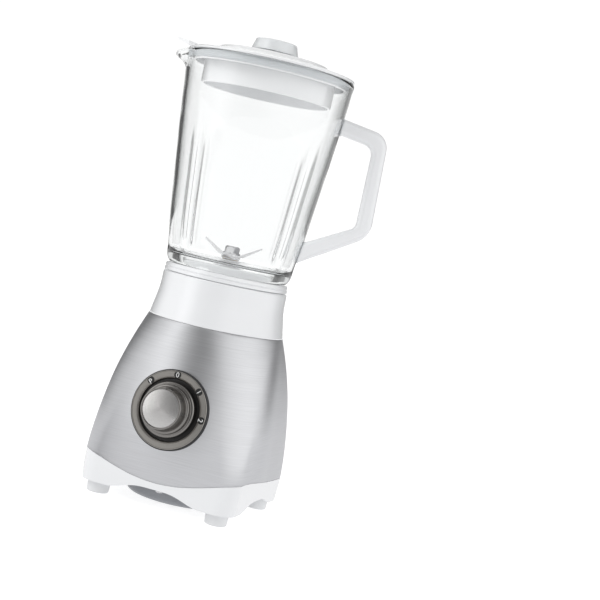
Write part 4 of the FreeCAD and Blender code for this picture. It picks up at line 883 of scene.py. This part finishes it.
def hill(away, half_angle):
    """1 in the middle of a bump and 0 at its half angle, as a squared cosine."""
    part = press.maths("MINIMUM", press.maths("DIVIDE", press.maths("ABSOLUTE", away), half_angle), 1.0)
    wavy = press.maths("COSINE", press.maths("MULTIPLY", part, math.pi / 2))
    return press.maths("MULTIPLY", wavy, wavy)


RIB_RISE, RIB_FALL, SPOUT_RISE, SPOUT_DROOP = 12.0 * MM, 30.0 * MM, 13.0 * MM, -32.0


def times(first, second):
    return press.maths("MULTIPLY", first, second)


def less(first, second):
    return press.maths("SUBTRACT", first, second)


whole_turn = press.maths("ADD", heading, 2 * math.pi)
quarter = less(press.maths("FLOORED_MODULO", whole_turn, math.pi / 2), math.pi / 4)
rise = clipped(press.maths("DIVIDE", less(pz, press.given("Rib low")), RIB_RISE))
fall = clipped(press.maths("DIVIDE", less(press.given("Rib high"), pz), RIB_FALL))
rib = times(hill(quarter, press.given("Rib half angle")), press.maths("MINIMUM", rise, fall))
rib = times(rib, press.given("Rib depth"))
behind = less(press.maths("ABSOLUTE", heading), math.pi)
lift = clipped(press.maths("DIVIDE", less(pz, press.given("Spout low")), SPOUT_RISE))
ease = times(times(lift, lift), less(3.0, times(lift, 2.0)))
swell = times(ease, press.given("Spout reach"))
spout = times(hill(behind, press.given("Spout half angle")), swell)
away = press.add("ShaderNodeCombineXYZ", {}, {0: px, 1: py})
outward = press.add("ShaderNodeVectorMath", {"operation": "NORMALIZE"}, {0: away})
droop = press.add("ShaderNodeCombineXYZ", {}, {2: times(times(spout, spout), SPOUT_DROOP)})
reach = {0: outward, "Scale": less(spout, rib)}
sideways = press.add("ShaderNodeVectorMath", {"operation": "SCALE"}, reach)
shift = press.add("ShaderNodeVectorMath", {"operation": "ADD"}, {0: sideways, 1: droop})
moved = {"Geometry": press.given("Geometry"), "Offset": shift}
pressed = press.add("GeometryNodeSetPosition", {}, moved)
glass_mesh = press.result(pressed, "pressed_jug", vessel)
glass_mesh.transform(Matrix.Rotation(JUG_TURN, 4, "Z"))
pressed_jug = finished("pressed_jug", glass_mesh, "jug", "clear_glass", ("jug_glass",), sharp=50.0)

# %% [markdown]
# ## The studio
# A round wall of cloth stands about the table, with a grey cloth over it and a pale mat below.
# They are out of the camera's sight and shine softly, white in some places and grey in others,
# so the steel has something to mirror. Glass is drawn by what it bends into sight, so it has a
# screen of its own: plain white, with a dark card at each side. The floor and the sky are white.

# %% Floor, wall and light
def stage_object(name, mesh, material):
    piece = bpy.data.objects.new(name, mesh)
    bpy.context.scene.collection.objects.link(piece)
    mesh.materials.append(material)
    return piece


def glowing(name, grey, strength=1.0, base=(0, 0, 0), roughness=1.0):
    """Material of a stage object that shines evenly."""
    return Finish(name, base, roughness, Emission_Color=(*grey, 1), Emission_Strength=strength).material


FLOOR_R = 12.0
floor_glow = glowing("studio_floor", (1, 1, 1), 0.8, (0.45, 0.45, 0.45), 0.9)
floor_mesh = bpy.data.meshes.new("studio_floor")
form = bmesh.new()
bmesh.ops.create_circle(form, cap_ends=True, segments=64, radius=FLOOR_R)
form.to_mesh(floor_mesh)
form.free()
floor = stage_object("studio_floor", floor_mesh, floor_glow)
floor.visible_glossy = floor.visible_diffuse = False


def sheet_like_floor(name, place, material):
    """Round sheet made from the floor's mesh, moved or scaled."""
    mesh = floor_mesh.copy()
    mesh.materials.clear()
    mesh.transform(place)
    return stage_object(name, mesh, material)


mat_glow = glowing("studio_mat", (0.92, 0.92, 0.93))
mat = sheet_like_floor("studio_mat", Matrix.Translation((0, 0, -2 * MM)), mat_glow)
mat.visible_camera = mat.visible_transmission = mat.visible_shadow = False

# %% The cloth wall, the screen and the ceiling
# Heading in degrees (0 is +X, -90 is the front) and the cloth's brightness there.
CLOTH = ((-180, .85), (-165, 1.0), (-148, 1.2), (-134, 1.9), (-122, 1.3), (-111, .4), (-94, .12),
         (-76, .25), (-52, 1.1), (-14, 1.4), (14, 1.3), (32, .9), (48, .14), (64, .12), (78, .34),
         (90, .4), (99, 1.05), (112, 1.15), (124, 1.05), (132, .12), (156, .08), (168, .5), (180, .85))
# Brightness behind the glass: dark cards to the left and right draw its edges.
BEHIND = ((-180, 1.05), (40, 1.05), (50, .14), (64, .12), (78, .34), (88, .36), (97, 1.05),
          (124, 1.05), (132, .12), (156, .08), (166, 1.05), (180, 1.05))
WALL_R, WALL_H, BRIGHTEST = 2.6, 3.2, 1.9


def cloth_wall(name, stops, radius):
    """Round wall of shining cloth, whose brightness depends on the heading."""
    mesh = bpy.data.meshes.new(name)
    form = bmesh.new()
    bmesh.ops.create_cone(form, cap_ends=False, segments=96, radius1=radius, radius2=radius,
                          depth=WALL_H)
    bmesh.ops.translate(form, verts=form.verts, vec=(0, 0, WALL_H / 2))
    form.to_mesh(mesh)
    form.free()
    cloth = Finish(name, (0, 0, 0), 1.0)
    split = cloth.node("SeparateXYZ", {}, {0: cloth.place()}, output="X")
    east, north = (Field(cloth, split.socket.node.outputs[axis]) for axis in "XY")
    along = (north.maths("ARCTAN2", north, east) / (2 * math.pi)) + 0.5
    ramp = [((degrees + 180) / 360, (shine / BRIGHTEST,) * 3 + (1,)) for degrees, shine in stops]
    cloth.feed("Emission Color", cloth.node("ValToRGB", {"stops": ramp}, {0: along}))
    cloth.shader.inputs["Emission Strength"].default_value = BRIGHTEST
    wall = stage_object(name, mesh, cloth.material)
    wall.visible_camera = wall.visible_shadow = False
    return wall


cloth_wall("studio_wall", CLOTH, WALL_R).visible_transmission = False
screen = cloth_wall("glass_screen", BEHIND, WALL_R + 0.1)
screen.visible_diffuse = screen.visible_glossy = False
raised = Matrix.Translation((0, 0, WALL_H)) @ Matrix.Scale(WALL_R / FLOOR_R, 4)
ceiling_glow = glowing("studio_ceiling", (0.55, 0.55, 0.55))
ceiling = sheet_like_floor("studio_ceiling", raised, ceiling_glow)
ceiling.visible_camera = ceiling.visible_shadow = False

# %% Sky and lamp
world = bpy.data.worlds.new("studio_sky")
world.use_nodes = True
sky = world.node_tree.nodes["Background"].inputs
sky["Color"].default_value, sky["Strength"].default_value = (1, 1, 1, 1), 1.05
bpy.context.scene.world = world
bpy.context.scene.view_settings.view_transform = "Standard"


def soft_light(name, place, size, power):
    lamp = bpy.data.lights.new(name, "AREA")
    lamp.shape, lamp.size, lamp.energy = "DISK", size, power
    light = bpy.data.objects.new(name, lamp)
    light.location = place
    light.rotation_mode = "QUATERNION"
    aim = Vector((0, 0, 0.2)) - Vector(place)
    light.rotation_quaternion = aim.to_track_quat("-Z", "Y")
    light.visible_camera = light.visible_glossy = False
    bpy.context.scene.collection.objects.link(light)


soft_light("key_light", (-1.1, -1.3, 1.5), 1.35, 12.0)
pressed_jug.visible_shadow = pressed_jug.visible_diffuse = False
print("studio ready")
